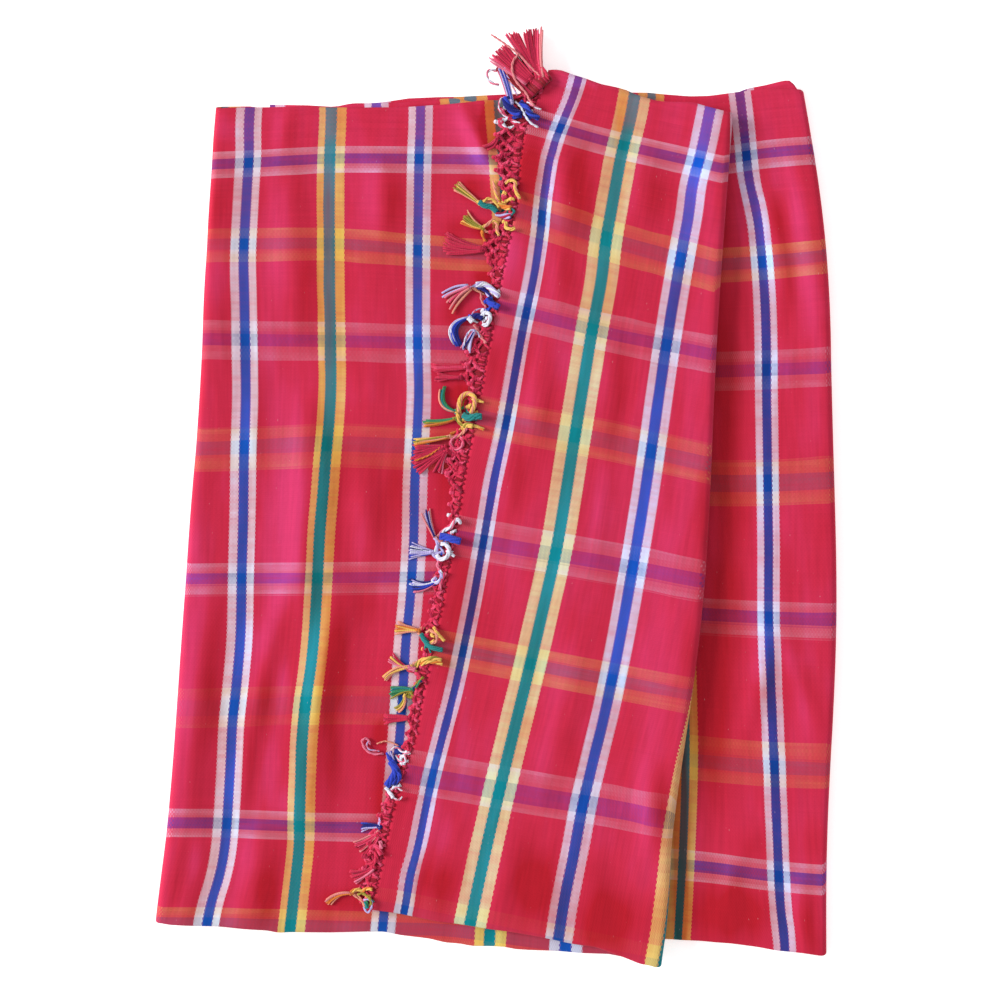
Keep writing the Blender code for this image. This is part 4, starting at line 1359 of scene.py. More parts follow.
    def material(self) -> bpy.types.Material:
        """The cloth's material: the weave, slow changes of tone and painted light, a few light slubs and a
        fine bump.
        """
        material, sketch, shader = new_material("woven_cotton")
        plaid = sketch.attribute("plaid")
        shows, tone, second = sketch.parts(sketch.attribute("shows_painted_light_and_dye"))
        weave = sketch.group(self.plain_weave(), Plaid=plaid, Shows=shows, Second=second)
        weft, _, length = sketch.parts(plaid)
        clouds = sketch.noise(sketch.place("TexCoord").outputs["Object"], self.cloud_scale)
        broad = sketch.scaled(clouds, self.cloud_tone, sketch.minus(tone, self.cloud_tone / 2))
        slow = sketch.plus(broad, sketch.centred(self.fold_tone.over(sketch, weft, length), self.fold_swing))
        # The tone is painted highlight and shade, together with uneven tone from the clouds and the streaks
        toned = weave.outputs["Color"]
        for half, colour in ((0.5, self.pinker_tone_and_highlight), (-0.5, self.purer_tone_and_shade)):
            toned = sketch.blend(sketch.times(slow, half, clamp=True), toned, colour, "MULTIPLY")
        slubs = sketch.step(self.slubs.over(sketch, weft, length), *self.slub_from)
        toned = sketch.blend(sketch.times(slubs, self.slub_share), toned, self.slub_colour)
        sketch.feed(shader.inputs["Base Color"], toned)
        shader.inputs["Roughness"].default_value = self.roughness
        shader.inputs["Specular IOR Level"].default_value = self.specular
        shader.inputs["Sheen Weight"].default_value = self.sheen
        shader.inputs["Sheen Roughness"].default_value = self.sheen_roughness
        crinkle = sketch.bump(self.crinkle.over(sketch, weft, length), *self.crinkle_bump)
        bump = sketch.bump(weave.outputs["Height"], *self.weave_bump)
        sketch.feed(bump.inputs["Normal"], crinkle.outputs[0])
        sketch.feed(shader.inputs["Normal"], bump.outputs[0])
        return material


@dataclass(frozen=True)
class Brush:
    """A tassel, in picture pixels: from its neck to its tip, with a sideways bend and the width of its fan.

    A bend above zero bows to the left as seen from neck to tip. yarns gives the dyes across the fan from the
    right to the left, by letter, with a number of strands each. legs is how many cords of the net it is tied
    from. thick is the half thickness of a strand, and lift how high the tassel lies above the others, in
    millimetres. gathered is the share of the fan's width that the neck has.
    """

    neck: Pair
    tip: Pair
    bend: float
    fan: float
    yarns: str
    legs: int = 2
    thick: float = 0.75
    each: int = 2
    lift: float = 0.0
    gathered: float = 0.22


BRUSHES = each(
    Brush,
    # The first tassel is mostly the deep red of painted shade, a dark mass beside the flap's top corner
    ((540, 92), (508, 56), 0, 34, "DMDDDMDDMDD", 2, 1.2, 4, 0, 0.75),
    ((540, 80), (533, 27), 1, 17, "QCRMRRMRR", 2, 0.8, 6, 1.6, 0.4),
    ((535, 72), (510, 30), 0, 10, "RMRRC", 2, 0.8, 6, 1.2, 0.5),
    ((530, 82), (497, 49), 1, 21, "RMRRMRRMRCP", 2, 0.8, 6, 1.6, 0.5),
    ((511, 104), (500, 67), -1, 7, "LBLLBLP", 2, 0.6, 2, 2.2, 0.6),
    ((497, 140), (484, 150), 2, 9, "RMR", 1), ((479, 204), (455, 185), 0, 10, "SKYKS", 2, 0.6, 3),
    ((482, 229), (463, 217), 1, 15, "SKKKYO", 2, 0.6, 3),
    ((484, 250), (443, 243), 2, 20, "RMRRMRRMR", 2, 0.7, 4),
    ((470, 288), (446, 306), -2, 22, "LLPQCQQS", 2, 1, 1),
    ((470, 318), (458, 348), -11, 12, "WLBBBNNN", 1, 0.7, 3, 0.4),
    ((474, 333), (465, 352), -1, 9, "PLNLWL", 1, 0.8, 1, 1.4),
    ((466, 368), (431, 368), 0, 9, "RRCRR", 2, 0.7, 4), ((460, 378), (434, 378), 0, 7, "RRMR", 1, 0.7, 3),
    ((456, 412), (442, 387), 7, 7, "GGTTS", 2, 0.8), ((455, 419), (423, 424), 1, 6, "GGKSO", 1),
    ((449, 437), (413, 443), 0, 6, "YKSYO", 2, 0.8),
    ((444, 447), (413, 453), 0, 13, "RMRRMRR", 2, 0.7, 5),
    ((446, 451), (413, 467), 0, 17, "RMRRMRR", 1, 0.7, 5), ((446, 452), (436, 474), 0, 8, "RMRP", 1, 0.9),
    ((435, 537), (426, 509), 1, 9, "QLNLQ", 2, 0.75, 1),
    ((432, 552), (409, 551), 0, 15, "LWNWLLBL", 2, 0.6),
    ((436, 581), (409, 585), 3, 14, "NLWLBBNNP", 2, 0.6), ((418, 630), (395, 627), 0, 11, "SOYOYS"),
    ((411, 666), (382, 679), -3, 6, "YSYS"), ((408, 668), (390, 656), 1, 8, "RYP", 1),
    ((412, 689), (389, 692), -1, 11, "GTGGK"), ((405, 695), (396, 711), 3, 6, "KYS", 1),
    ((409, 717), (383, 718), 0, 9, "RRMRR", 2, 0.9, 6), ((380, 825), (361, 826), -1, 8, "BNNBL"),
    ((378, 833), (358, 851), 1, 22, "QRCMRQRRC", 2, 0.7),
    ((374, 866), (351, 877), 1, 12, "RMRRP", 1, 0.9), ((352, 892), (326, 902), -3, 6, "SQOS", 2, 0.7, 2),
)


@dataclass(frozen=True)
class Yarn:
    """A loose cord, in picture pixels; its half thickness and lift are in millimetres."""

    dyes: str
    radius: float
    lift: float
    points: list[Pair]


# Dyes, half thickness, lift and points
YARNS = [Yarn(dyes, radius, lift, points) for dyes, radius, lift, *points in (
    ("Q", 1, 4.4, (491, 34), (504, 43), (518, 54), (529, 66), (541, 79)),
    ("Q", 1.1, 4.4, (519, 54), (513.5, 61), (512, 70), (515, 81), (521, 89), (526.5, 96), (530, 104),
     (534, 109)),
    ("LQ", 0.8, 2.8, (504, 66), (508, 78), (513, 88), (517, 97)),
    ("R", 1.5, 2.4, (536, 64), (544, 72), (548, 84)), ("RM", 1.4, 2, (520, 72), (530, 83), (541, 89)),
    ("PW", 1.3, 0.5, (499, 86), (493, 84), (488, 79.5), (487, 73.5), (491, 70), (497, 71)),
    ("PW", 0.9, 1.6, (505, 98), (500.5, 101), (499, 107), (500.5, 113), (506, 118), (514, 122), (520, 125)),
    ("W", 1, 2.2, (515, 103), (521, 109), (524.5, 117), (530, 125), (538, 130)),
    ("WP", 1.1, 0.8, (527, 103), (533, 108), (541, 112)),
    ("NB", 3.3, 0.5, (505, 99), (508, 107), (514, 113), (521, 117)),
    ("B", 1.7, 1.9, (505, 100), (507, 107), (512, 113)),
    ("BN", 2.3, 0.4, (520, 103), (526, 109), (530, 116), (539, 121)),
    ("T", 2.3, 0.8, (479, 203), (485, 207), (491, 208), (497, 213)),
    ("Y", 1.3, 2.4, (483, 203), (488, 200), (494, 202), (499, 209)),
    ("OY", 2.2, 0.6, (498, 204), (504, 208), (511, 210)),
    ("SY", 1.5, 0.8, (494, 182), (495, 190), (497, 198), (499, 205)),
    ("YS", 1.5, 1.2, (505, 184.5), (510, 182), (515, 184), (515, 190), (517, 196), (520, 201)),
    ("SY", 1.4, 1.4, (482, 229), (488, 225), (493, 221.5), (497, 225), (497, 231), (499, 237)),
    ("Y", 1.5, 1.3, (506, 223), (506, 229), (511, 231), (515, 230)),
    ("T", 1, 0.8, (510, 209), (514, 213), (511, 217)),
    ("LMN", 2.4, 0.2, (496, 214), (503, 217), (511, 218)),
    ("WL", 2.2, 1.6, (476, 285.5), (484, 285), (491, 289.5), (499, 298)),
    ("NL", 1.7, 1.2, (478, 288), (485, 291), (490, 298)),
    ("BN", 2.9, 0.6, (489, 299), (491, 304), (499, 309)),
    ("Q", 1, 1.3, (481, 293), (481.5, 301), (486, 308)),
    ("W", 1.7, 1.9, (481.5, 317.5), (485, 313.5), (489.5, 315.5), (490, 320), (487, 325.5), (482.5, 325.5)),
    ("LP", 0.8, 1.2, (471, 317), (476, 310.5), (486, 309.5)),
    ("N", 2.5, 0.4, (473, 317.5), (478, 316.5), (483, 319)),
    ("W", 2.3, 1.6, (468.5, 318), (470.5, 320), (473, 322.5)),
    ("Q", 1.2, 0.8, (474, 325), (478, 332), (482, 339), (486, 344)),
    ("LW", 0.9, 2.4, (480, 338), (477, 332.5), (472.5, 330.5), (468, 334), (465, 341), (463, 350)),
    ("YS", 1.9, 1.8, (459, 413), (459.5, 403), (463, 396), (469, 394), (474.5, 398), (474.5, 406),
     (471, 414)),
    ("K", 0.6, 0.6, (463, 406), (464.5, 400), (470, 398)),
    ("T", 2.7, 1.4, (463, 415), (469, 418.5), (476, 417), (482, 417)),
    ("TG", 1.5, 2.4, (465, 419), (471, 420)),
    ("YK", 1.6, 1.6, (455, 410), (458, 415), (459, 421.5), (463, 426), (468, 425)),
    ("YK", 2.2, 1.2, (464, 427), (468, 425.5), (473, 427)),
    ("SP", 1.4, 1.2, (467, 428), (463, 433), (456, 437), (450, 438)),
    ("PC", 1.3, 1.4, (454, 438), (450.5, 443), (455, 449), (462, 447), (463, 441), (460, 437)),
    ("KD", 1.3, 0, (456, 441), (459.5, 444.5)), ("O", 0.8, 2.2, (441, 447), (430, 455), (415, 461)),
    ("Y", 1.3, 0.5, (472, 399), (478, 401), (484, 403)),
    ("YO", 1.4, 0.5, (470, 425), (477, 427), (484, 430)),
    ("WP", 1.6, 1.5, (440, 534), (445, 530), (451, 527.5), (455, 521), (458, 519), (461, 524)),
    ("B", 3, 0.9, (440, 536), (447, 537), (453, 539), (461, 541)),
    ("LW", 1.7, 1, (435, 537), (438, 543), (436, 552)),
    ("W", 1.8, 2, (441, 543.5), (447, 545), (449.5, 551), (446, 557.5), (440, 558.5), (437, 554)),
    ("W", 1.3, 1.2, (447, 550), (450.5, 553), (455, 556)),
    ("LB", 1.3, 0.8, (440, 546), (443, 551), (442, 555)),
    ("PC", 1.5, 0.9, (440, 560), (438, 565), (441, 572)),
    ("CP", 1.4, 0.9, (446, 572), (442, 580), (440, 590)),
    ("LW", 1.5, 1.6, (440, 570), (442, 576), (438, 582), (433, 580.5), (437, 577)),
    ("R", 1.2, 1.4, (421, 630), (425, 625), (432, 624), (439, 631)),
    ("S", 1.2, 2, (426, 632), (431, 630), (437, 634), (436.5, 640), (432, 643)),
    ("Y", 1.4, 1.4, (434, 626), (437, 631), (440, 635), (445, 640)),
    ("T", 2, 0.6, (421, 633), (425.5, 640.7), (431, 646), (438, 648), (443, 649)),
    ("T", 1, 0.9, (423, 638), (429, 646), (431, 652)),
    ("YK", 1.8, 1, (416, 666), (421, 660), (428, 658), (434, 657), (442, 659)),
    ("YO", 1.5, 1.8, (421, 664), (428, 661), (436, 661), (443, 663)),
    ("P", 2.1, 1, (408, 666.5), (412.5, 668), (416, 669)),
    ("K", 1.3, 0.9, (424, 676), (417, 683), (411, 690), (405, 696)),
    ("GN", 1.3, 1.3, (422, 679), (415, 687), (410, 691)),
    ("S", 0.7, 0.6, (377, 743), (385, 740.5), (392, 742), (399, 745)),
    ("P", 1.1, 0.6, (384, 752.8), (373, 752.8), (365.5, 748), (362.5, 740), (367.4, 738), (371, 744)),
    ("PL", 0.8, 1.3, (380, 750), (371, 749), (367, 744), (370, 740)),
    ("BL", 1.8, 1.4, (388, 751), (390, 757), (394, 763)),
    ("B", 3, 0.6, (391, 760), (396, 768), (394, 775), (387, 785)),
    ("LB", 1.1, 2.6, (391, 750), (394, 760), (397, 767)),
    ("BN", 2.1, 0.6, (397, 767), (400, 775), (394, 783)),
    ("WP", 1, 1, (391, 748), (397, 746.5), (403, 751), (411, 751.5)),
    ("WP", 1, 1.2, (396, 754), (400, 760), (406, 760), (405, 753)),
    ("W", 1.6, 1.2, (386, 786), (390, 791), (394, 796)),
    ("WP", 0.9, 1.4, (391, 788), (397, 785.5), (403, 789)),
    ("WP", 0.9, 1.2, (391, 794), (398, 798), (403, 795)), ("P", 1.6, 0.7, (381, 839), (382, 847)),
    ("CR", 2, 0.8, (371, 848), (375, 844), (379, 847), (382, 853)),
    ("R", 1.8, 0.8, (366, 861), (373, 862), (377, 857), (376, 850)),
    ("YO", 1.5, 1.2, (351, 891), (357, 888), (363, 889.5), (367, 887), (373, 887)),
    ("K", 1.2, 2, (358, 893), (364, 892), (371, 897), (372, 903)),
    ("S", 1.1, 1, (358, 892), (362, 899), (366, 905)), ("TG", 1.8, 0.8, (366.5, 899), (368, 906)),
    ("L", 0.9, 1.8, (364, 898), (371.5, 897.5), (372.5, 904), (368.5, 910), (364, 905)),
)]
# How far down the picture, and how far the net reaches out there, in pixels
NET_DEPTH = (
    (72, 7), (90, 10), (97, 20), (104, 28), (115, 30), (130, 29), (150, 27), (172, 24), (188, 18),
    (205, 15), (215, 12), (232, 16), (242, 22), (258, 20), (270, 12), (290, 10), (312, 11), (335, 14),
    (350, 19), (368, 22), (382, 20), (395, 12), (425, 12), (445, 17), (462, 20), (482, 19), (494, 9),
    (520, 8), (548, 8), (565, 10), (600, 10), (640, 9), (680, 10), (705, 9), (730, 6), (760, 8),
    (790, 10), (812, 11), (835, 16), (860, 18), (880, 16), (905, 8),
)


def ropes(
    paths: Array, radii: Array, sides: int, turns: float, flatness: float
) -> tuple[Array, Array, Array]:
    """Tubes along many paths of one length of list.

    At each point a flattened ring, r (cos a, flatness sin a), is turned by its share of the turns and set
    square to the path, on its level side and the direction across both. Ends are closed by fans of quads.

    Args:
        paths: points of shape (tubes, stations, 3).
        radii: half thickness at each station.
        sides: corners of a ring, an even number.
        turns: whole turns of the ring along a tube.
        flatness: thin half axis over the thick one.

    Returns:
        The points, the faces, and the twist as (length along, cos a, sin a) for each point.
    """
    count, stations = paths.shape[:2]
    level, rise = level_and_rise(paths, tiny=1e-9)
    angle = 2 * math.pi * np.arange(sides) / sides
    turned = 2 * math.pi * turns * np.linspace(0, 1, stations)[:, None]
    wide, thin = np.cos(angle), flatness * np.sin(angle)
    side = wide * np.cos(turned) - thin * np.sin(turned)
    up = wide * np.sin(turned) + thin * np.cos(turned)
    points = paths[:, :, None] + radii[..., None, None] * (
        side[..., None] * level[:, :, None] + up[..., None] * rise[:, :, None]
    )
    steps = np.linalg.norm(np.diff(paths, axis=1), axis=2)
    along = np.concatenate([np.zeros((count, 1)), np.cumsum(steps, axis=1)], axis=1)
    twist = np.stack(np.broadcast_arrays(along[..., None], np.cos(angle), np.sin(angle)), axis=-1)
    tube, station, corner = np.meshgrid(
        np.arange(count), np.arange(stations - 1), np.arange(sides), indexing="ij")
    here = (tube * stations + station) * sides
    after = (corner + 1) % sides
    walls = np.stack([here + corner, here + sides + corner, here + sides + after, here + after], axis=-1)
    first = np.arange(count)[:, None, None] * stations * sides
    fans = np.array([[0, k, k + 1, k + 2] for k in range(1, sides - 1, 2)])
    ends = first + (stations - 1) * sides + fans[:, ::-1]
    faces = np.concatenate([part.reshape(-1, 4) for part in (walls, first + fans, ends)])
    return points.reshape(-1, 3), faces, twist.reshape(-1, 3)


def level_and_rise(paths: Array, tiny: float = 0.0) -> tuple[Array, Array]:
    """Directions square to paths at each point: the level one, and the one across it and the path."""
    tangent = np.gradient(paths, axis=-2)
    tangent /= np.linalg.norm(tangent, axis=-1)[..., None] + tiny
    level = np.cross(tangent, [0.0, 0.0, 1.0])
    level /= np.linalg.norm(level, axis=-1)[..., None] + tiny
    return level, np.cross(level, tangent)


def resampled(points: Array, count: int) -> Array:
    """A smooth path of evenly shared points through the given ones, by Catmull-Rom splines."""
    padded = np.vstack([2 * points[0] - points[1], points, 2 * points[-1] - points[-2]])
    place = np.linspace(0, len(points) - 1, count)
    span = np.minimum(place.astype(int), len(points) - 2)
    t = (place - span)[:, None]
    p0, p1, p2, p3 = (padded[span + k] for k in range(4))
    return 0.5 * (2 * p1 + (p2 - p0) * t + (2 * p0 - 5 * p1 + 4 * p2 - p3) * t**2
                  + (3 * p1 - p0 - 3 * p2 + p3) * t**3)


@dataclass
class Cords:
    """A growing set of tubes with their dyes, which ends as one mesh."""

    points: list[Array] = field(default_factory=list)
    faces: list[Array] = field(default_factory=list)
    twist: list[Array] = field(default_factory=list)
    colour: list[Array] = field(default_factory=list)

    def add(self, paths: Array, radii: Array, dyes: list[Dye], sides: int = 4, turns: float = 0.0,
            flatness: float = 1.0) -> None:
        """Adds tubes along the paths, one dye each."""
        points, faces, twist = ropes(paths, radii, sides, turns, flatness)
        self.faces.append(faces + sum(len(p) for p in self.points))
        self.points.append(points)
        self.twist.append(twist)
        self.colour.append(np.repeat(np.array([DYES[d] for d in dyes]), paths.shape[1] * sides, axis=0))

    def build(self, name: str) -> Piece:
        """The mesh object, with its twist and dye on its points."""
        piece = mesh_object(name, np.concatenate(self.points), np.concatenate(self.faces))
        give(piece, "twist", np.concatenate(self.twist))
        give(piece, "dye", np.concatenate(self.colour))
        return piece


@dataclass(frozen=True)
class NetSize:
    """Sizes of the net in millimetres, and the shares of its depth at which its rows of knots lie.

    A net deeper than deep_from pixels has three rows of knots, elsewhere it has two. end_margins are kept
    free at the edge's top and foot, and split is how far to either side of a place its two cords start.
    """

    cell: float = 9.2
    deep_from: float = 15.0
    inner_shares: Pair = (0.34, 0.5)
    middle_shares: Pair = (0.68, 1.0)
    end_margins: Pair = (2.5, 3.5)
    split: float = 1.4
    tucked_in: float = -0.5
    tucked_up: float = 0.35
    lower_depth: float = 0.92
    above_ground: float = 0.9
    lower_fall: float = 0.02


@dataclass(frozen=True)
class Wander:
    """How far things lie off their even places, in millimetres: the most to either side, or a spread."""

    knot_row: float = 1.2
    knot_depth: float = 1.0
    knot_place: float = 0.8
    bow: float = 0.7
    strand_sway: float = 0.35
    flat_end: float = 0.12


@dataclass(frozen=True)
class FlatEnds:
    """The loose warp ends under the net: pitch, how far they reach, thickness and how low they lie."""

    pitch: float = 1.25
    margin: float = 3.0
    reach: float = 0.82
    more_reach: float = 0.1
    radius: float = 0.85
    drop: float = 0.2
    stations: int = 5
    sides: int = 5


@dataclass(frozen=True)
class Fan:
    """How a tassel's strands lie, open, stack and thin out, and the size of the knot at its neck."""

    stations: int = 10
    uneven: float = 0.2
    shorter: float = 0.16
    sways: float = 1.5
    opening_power: float = 1.2
    stacked: int = 3
    stack_pitch: float = 1.1
    stack_flattens: float = 0.4
    neck_rise: float = 1.2
    thins: float = 0.25
    least_knot: float = 0.9
    knot_for_each: float = 0.10
    largest_knot: float = 2.0


# A loose cord's strands: up to which half thickness, how many, and their share of it
STRANDS = ((1.4, 2, 0.56), (1.9, 3, 0.50), (math.inf, 5, 0.42))


@dataclass
class KnottedFringe:
    """The warp ends past the cloth's cut end: tied into a net, gathered at knots and left as tassels."""

    cloth: FoldedCloth
    size: NetSize = NetSize()
    wander: Wander = Wander()
    flat: FlatEnds = FlatEnds()
    fan: Fan = Fan()
    cord_radius: float = 1.75
    knot_radius: float = 2.0
    clear: float = 0.25
    slope_reach: float = 11.0
    fall_past_top: float = 0.22
    core_within: float = 3.0
    band_within: float = 9.0
    banded_share: float = 0.4
    seed: int = 7

    def __post_init__(self) -> None:
        """Reads the two plies' cut edges off the cloth."""
        points = self.cloth.surface()[0][0]
        rows = self.cloth.rows
        self.edges = {Ply.A: points[:rows], Ply.B: points[-rows:][::-1]}
        top, foot = np.array(FRINGED_END.line.top), np.array(FRINGED_END.line.foot)
        along = (foot - top) / np.linalg.norm(foot - top)
        self.out = np.array([along[1], -along[0]])
        self.rng = np.random.default_rng(self.seed)

    def edge(self, ply: Ply, y: Array) -> Array:
        """Points of a ply's cut edge at the heights y."""
        line = self.edges[ply][::-1]
        return np.stack([np.interp(y, line[:, 1], line[:, k]) for k in range(3)], axis=-1)

    def ground(self, x: Array, y: Array) -> Array:
        """Height of what a cord lies on: the flap, the left panel, or the slope of the net between them."""
        half = PLY_PITCH / 2 + THICKNESS / 2
        panel = stack_height(2, x, y) + relief(2, Ply.B, x, y) + half
        top = self.cloth.edge_y(LAYERS[1].ends_top[Ply.B], x)
        panel = panel - self.fall_past_top * np.maximum(y - top, 0.0)
        edge = self.edge(Ply.A, y)
        away = (edge[..., 0] - x) * -self.out[0]
        flap = np.where(away < 0, stack_height(1, x, y) + relief(1, Ply.A, x, y) + half, edge[..., 2])
        share = np.clip(1 - away / self.slope_reach, 0, 1)
        return panel + (flap - panel) * share * share * (3 - 2 * share)

    def dye_at(self, y: Array) -> list[Dye]:
        """Dye of the warp at heights y of the cut edge: in stripes of white and blue or yellow and green."""
        spot = self.edge(Ply.A, y)
        place = Plaid(LAYERS[0]).warp_place(spot[..., 0], spot[..., 1])
        number = np.round(place / WARP_PITCH)
        away = np.abs(place - number * WARP_PITCH)
        found = []
        for n, d in zip(number, away):
            core, light = (Dye.BLUE, Dye.WHITE) if n % 2 else (Dye.TEAL, Dye.YELLOW)
            plain = self.rng.choice([Dye.RED, Dye.MAGENTA, Dye.ROSE], p=[0.5, 0.25, 0.25])
            banded = d < self.band_within and self.rng.random() < self.banded_share
            found.append(plain if not banded else core if d < self.core_within else light)
        return found

    def depth(self, y: Array) -> Array:
        """How far the net reaches out at the heights y, in picture pixels."""
        return np.interp(down_of(y), *zip(*NET_DEPTH))

    def node(self, ply: Ply, y: Array, share: Array | float) -> Array:
        """Points of the net at a share of its depth out from a ply's edge, a little uneven."""
        size, wander, upper = self.size, self.wander, ply is Ply.A
        root = self.edge(ply, y)
        depth = self.depth(y) * PICTURE_SCALE * share * (1.0 if upper else size.lower_depth)
        depth = depth + self.rng.uniform(-wander.knot_depth, wander.knot_depth, len(y))
        plan = root[:, :2] + depth[:, None] * self.out
        plan = plan + self.rng.uniform(-wander.knot_place, wander.knot_place, (len(y), 2))
        if upper:
            height = self.ground(plan[:, 0], plan[:, 1]) + size.above_ground
        else:
            height = root[:, 2] - size.lower_fall * depth
        return np.column_stack([plan, height])

    def net(self) -> tuple[Piece, Array]:
        """The net of both plies: each cord splits to two knots, and the knots' cords join again further out.

        Where the net is deep it has three rows of knots, elsewhere two.

        Returns:
            The piece and the outer knots of the upper ply.
        """
        size, cords, outer_knots = self.size, Cords(), None
        tucked = np.array([*(size.tucked_in * self.out), size.tucked_up])
        for ply in Ply:
            line = self.edges[ply]
            count = int((line[0, 1] - line[-1, 1] - sum(size.end_margins)) / size.cell)
            first = line[0, 1] - size.end_margins[0] - (0.0 if ply is Ply.A else size.cell / 2)
            y = np.linspace(first, line[-1, 1] + size.end_margins[1], count)
            y = y + self.rng.uniform(-self.wander.knot_row, self.wander.knot_row, count)
            between = (y[1:] + y[:-1]) / 2
            deep = self.depth(between) > size.deep_from
            inner = self.node(ply, between, np.where(deep, *size.inner_shares))
            middle = self.node(ply, y, np.where(self.depth(y) > size.deep_from, *size.middle_shares))
            outer = self.node(ply, between[deep], 1.0)
            above, below = (self.edge(ply, y + off) + tucked for off in (size.split, -size.split))
            for start, end, at in (
                (below[:-1], inner, y[:-1] - 1), (above[1:], inner, y[1:] + 1),
                (inner, middle[:-1], between + 1), (inner, middle[1:], between - 1),
                (middle[:-1][deep], outer, between[deep] + 1), (middle[1:][deep], outer, between[deep] - 1),
            ):
                self.span(cords, start, end, self.dye_at(at))
            for knots, at in ((inner, between), (middle, y), (outer, between[deep])):
                heading = np.tile(np.array([*self.out, 0.0]), (len(knots), 1))
                self.knot(cords, knots, heading, self.knot_radius, self.dye_at(at))
            if ply is Ply.A:
                outer_knots = np.concatenate([middle, outer])
        self.flat_ends(cords)
        return cords.build("knotted_net"), outer_knots

    def flat_ends(self, cords: Cords) -> None:
        """Adds the loose warp ends that lie flat and close together under the net and fill its holes."""
        line, flat = self.edges[Ply.A], self.flat
        y = np.arange(line[-1, 1] + flat.margin, line[0, 1] - flat.margin, flat.pitch)
        reaches = flat.reach + flat.more_reach * self.rng.random((len(y), 1))
        share = np.linspace(0.0, 1.0, flat.stations) * reaches
        reach = share * self.depth(y)[:, None] * PICTURE_SCALE
        plan = self.edge(Ply.A, y)[:, None, :2] + reach[..., None] * self.out
        plan[..., 1] += self.rng.normal(0, self.wander.flat_end, share.shape)
        height = self.ground(plan[..., 0], plan[..., 1]) - flat.drop
        # Painted shade: most flat ends take the deep red, so that the net's holes look shaded
        dyes = list(self.rng.choice([Dye.PAINTED_SHADE_RED, Dye.RED], len(y), p=[0.7, 0.3]))
        cords.add(np.dstack([plan, height]), np.full(share.shape, flat.radius), dyes, flat.sides)

    def span(self, cords: Cords, start: Array, end: Array, dyes: list[Dye]) -> None:
        """Adds cords from start to end, each with a little bow and the twist of two plies."""
        stations, flat_bow, thinnest, thickest = 5, 0.4, 0.8, 1.15
        t = np.linspace(0, 1, stations)[None, :, None]
        bow = self.rng.normal(0, self.wander.bow, (len(start), 1, 3)) * np.array([1.0, 1.0, flat_bow])
        paths = start[:, None] + (end - start)[:, None] * t + bow * 4 * t * (1 - t)
        radii = self.cord_radius * self.rng.uniform(thinnest, thickest, (len(start), 1)) * np.ones(stations)
        cords.add(paths, radii, dyes, sides=6, turns=0.75, flatness=0.62)

    def knot(self, cords: Cords, middle: Array, heading: Array, radius: float, dyes: list[Dye]) -> None:
        """Adds ridged knots: short tubes that swell twice."""
        half_length = 1.15
        shares = np.array([-1.0, -0.7, -0.35, 0.0, 0.35, 0.7, 1.0])
        swell = np.array([0.45, 0.9, 1.0, 0.82, 1.0, 0.9, 0.45])
        paths = middle[:, None] + shares[None, :, None] * heading[:, None] * radius * half_length
        cords.add(paths, np.tile(swell * radius, (len(middle), 1)), dyes, sides=6, turns=0.15, flatness=0.85)

    def tassels(self, outer_knots: Array) -> Piece:
        """The tassels of BRUSHES: legs from the net, a knot at the neck, and a fan of strands.

        A strand keeps its place across the fan, which widens from the neck to the tip. The strands lie in a
        stack that flattens towards the tip, and some are shorter than the fan.
        """
        cords, fan = Cords(), self.fan
        for brush in BRUSHES:
            dyes = [Dye(letter) for letter in brush.yarns for _ in range(brush.each)]
            count, t = len(dyes), np.linspace(0, 1, fan.stations)
            neck, tip = picture([brush.neck, brush.tip])
            heading = (tip - neck) / np.linalg.norm(tip - neck)
            across = np.array([-heading[1], heading[0]])
            place = np.linspace(-1, 1, count) + self.rng.uniform(-fan.uneven, fan.uneven, count)
            reach = 1 - fan.shorter * self.rng.random(count)
            sway = self.rng.normal(0, self.wander.strand_sway, (count, 1)) * np.sin(math.pi * fan.sways * t)
            opened = brush.gathered + (1 - brush.gathered) * t**fan.opening_power
            spread_out = place[:, None] * opened * brush.fan / 2 * PICTURE_SCALE
            side = spread_out + brush.bend * PICTURE_SCALE * 4 * t * (1 - t) + sway
            plan = neck + (reach[:, None] * t)[..., None] * (tip - neck) + side[..., None] * across
            level = (np.arange(count) % fan.stacked)[:, None] * fan.stack_pitch * brush.thick
            stack = level * (1 - fan.stack_flattens * t) + fan.neck_rise * (1 - t) ** 2
            height = self.ground(plan[..., 0], plan[..., 1]) + brush.thick + self.clear + stack + brush.lift
            radii = np.tile(brush.thick * (1 - fan.thins * t**4), (count, 1))
            cords.add(np.dstack([plan, height]), radii, dyes)
            at = np.array([[*neck, height[:, 0].mean()]])
            size = min(fan.largest_knot, fan.least_knot + fan.knot_for_each * count)
            self.knot(cords, at, np.array([[*heading, 0.0]]), size, [dyes[count // 2]])
            near = outer_knots[np.argsort(np.linalg.norm(outer_knots[:, :2] - neck, axis=1))[: brush.legs]]
            self.span(cords, near, np.repeat(at, len(near), axis=0), [dyes[0], dyes[-1]][: len(near)])
        return cords.build("tassels")

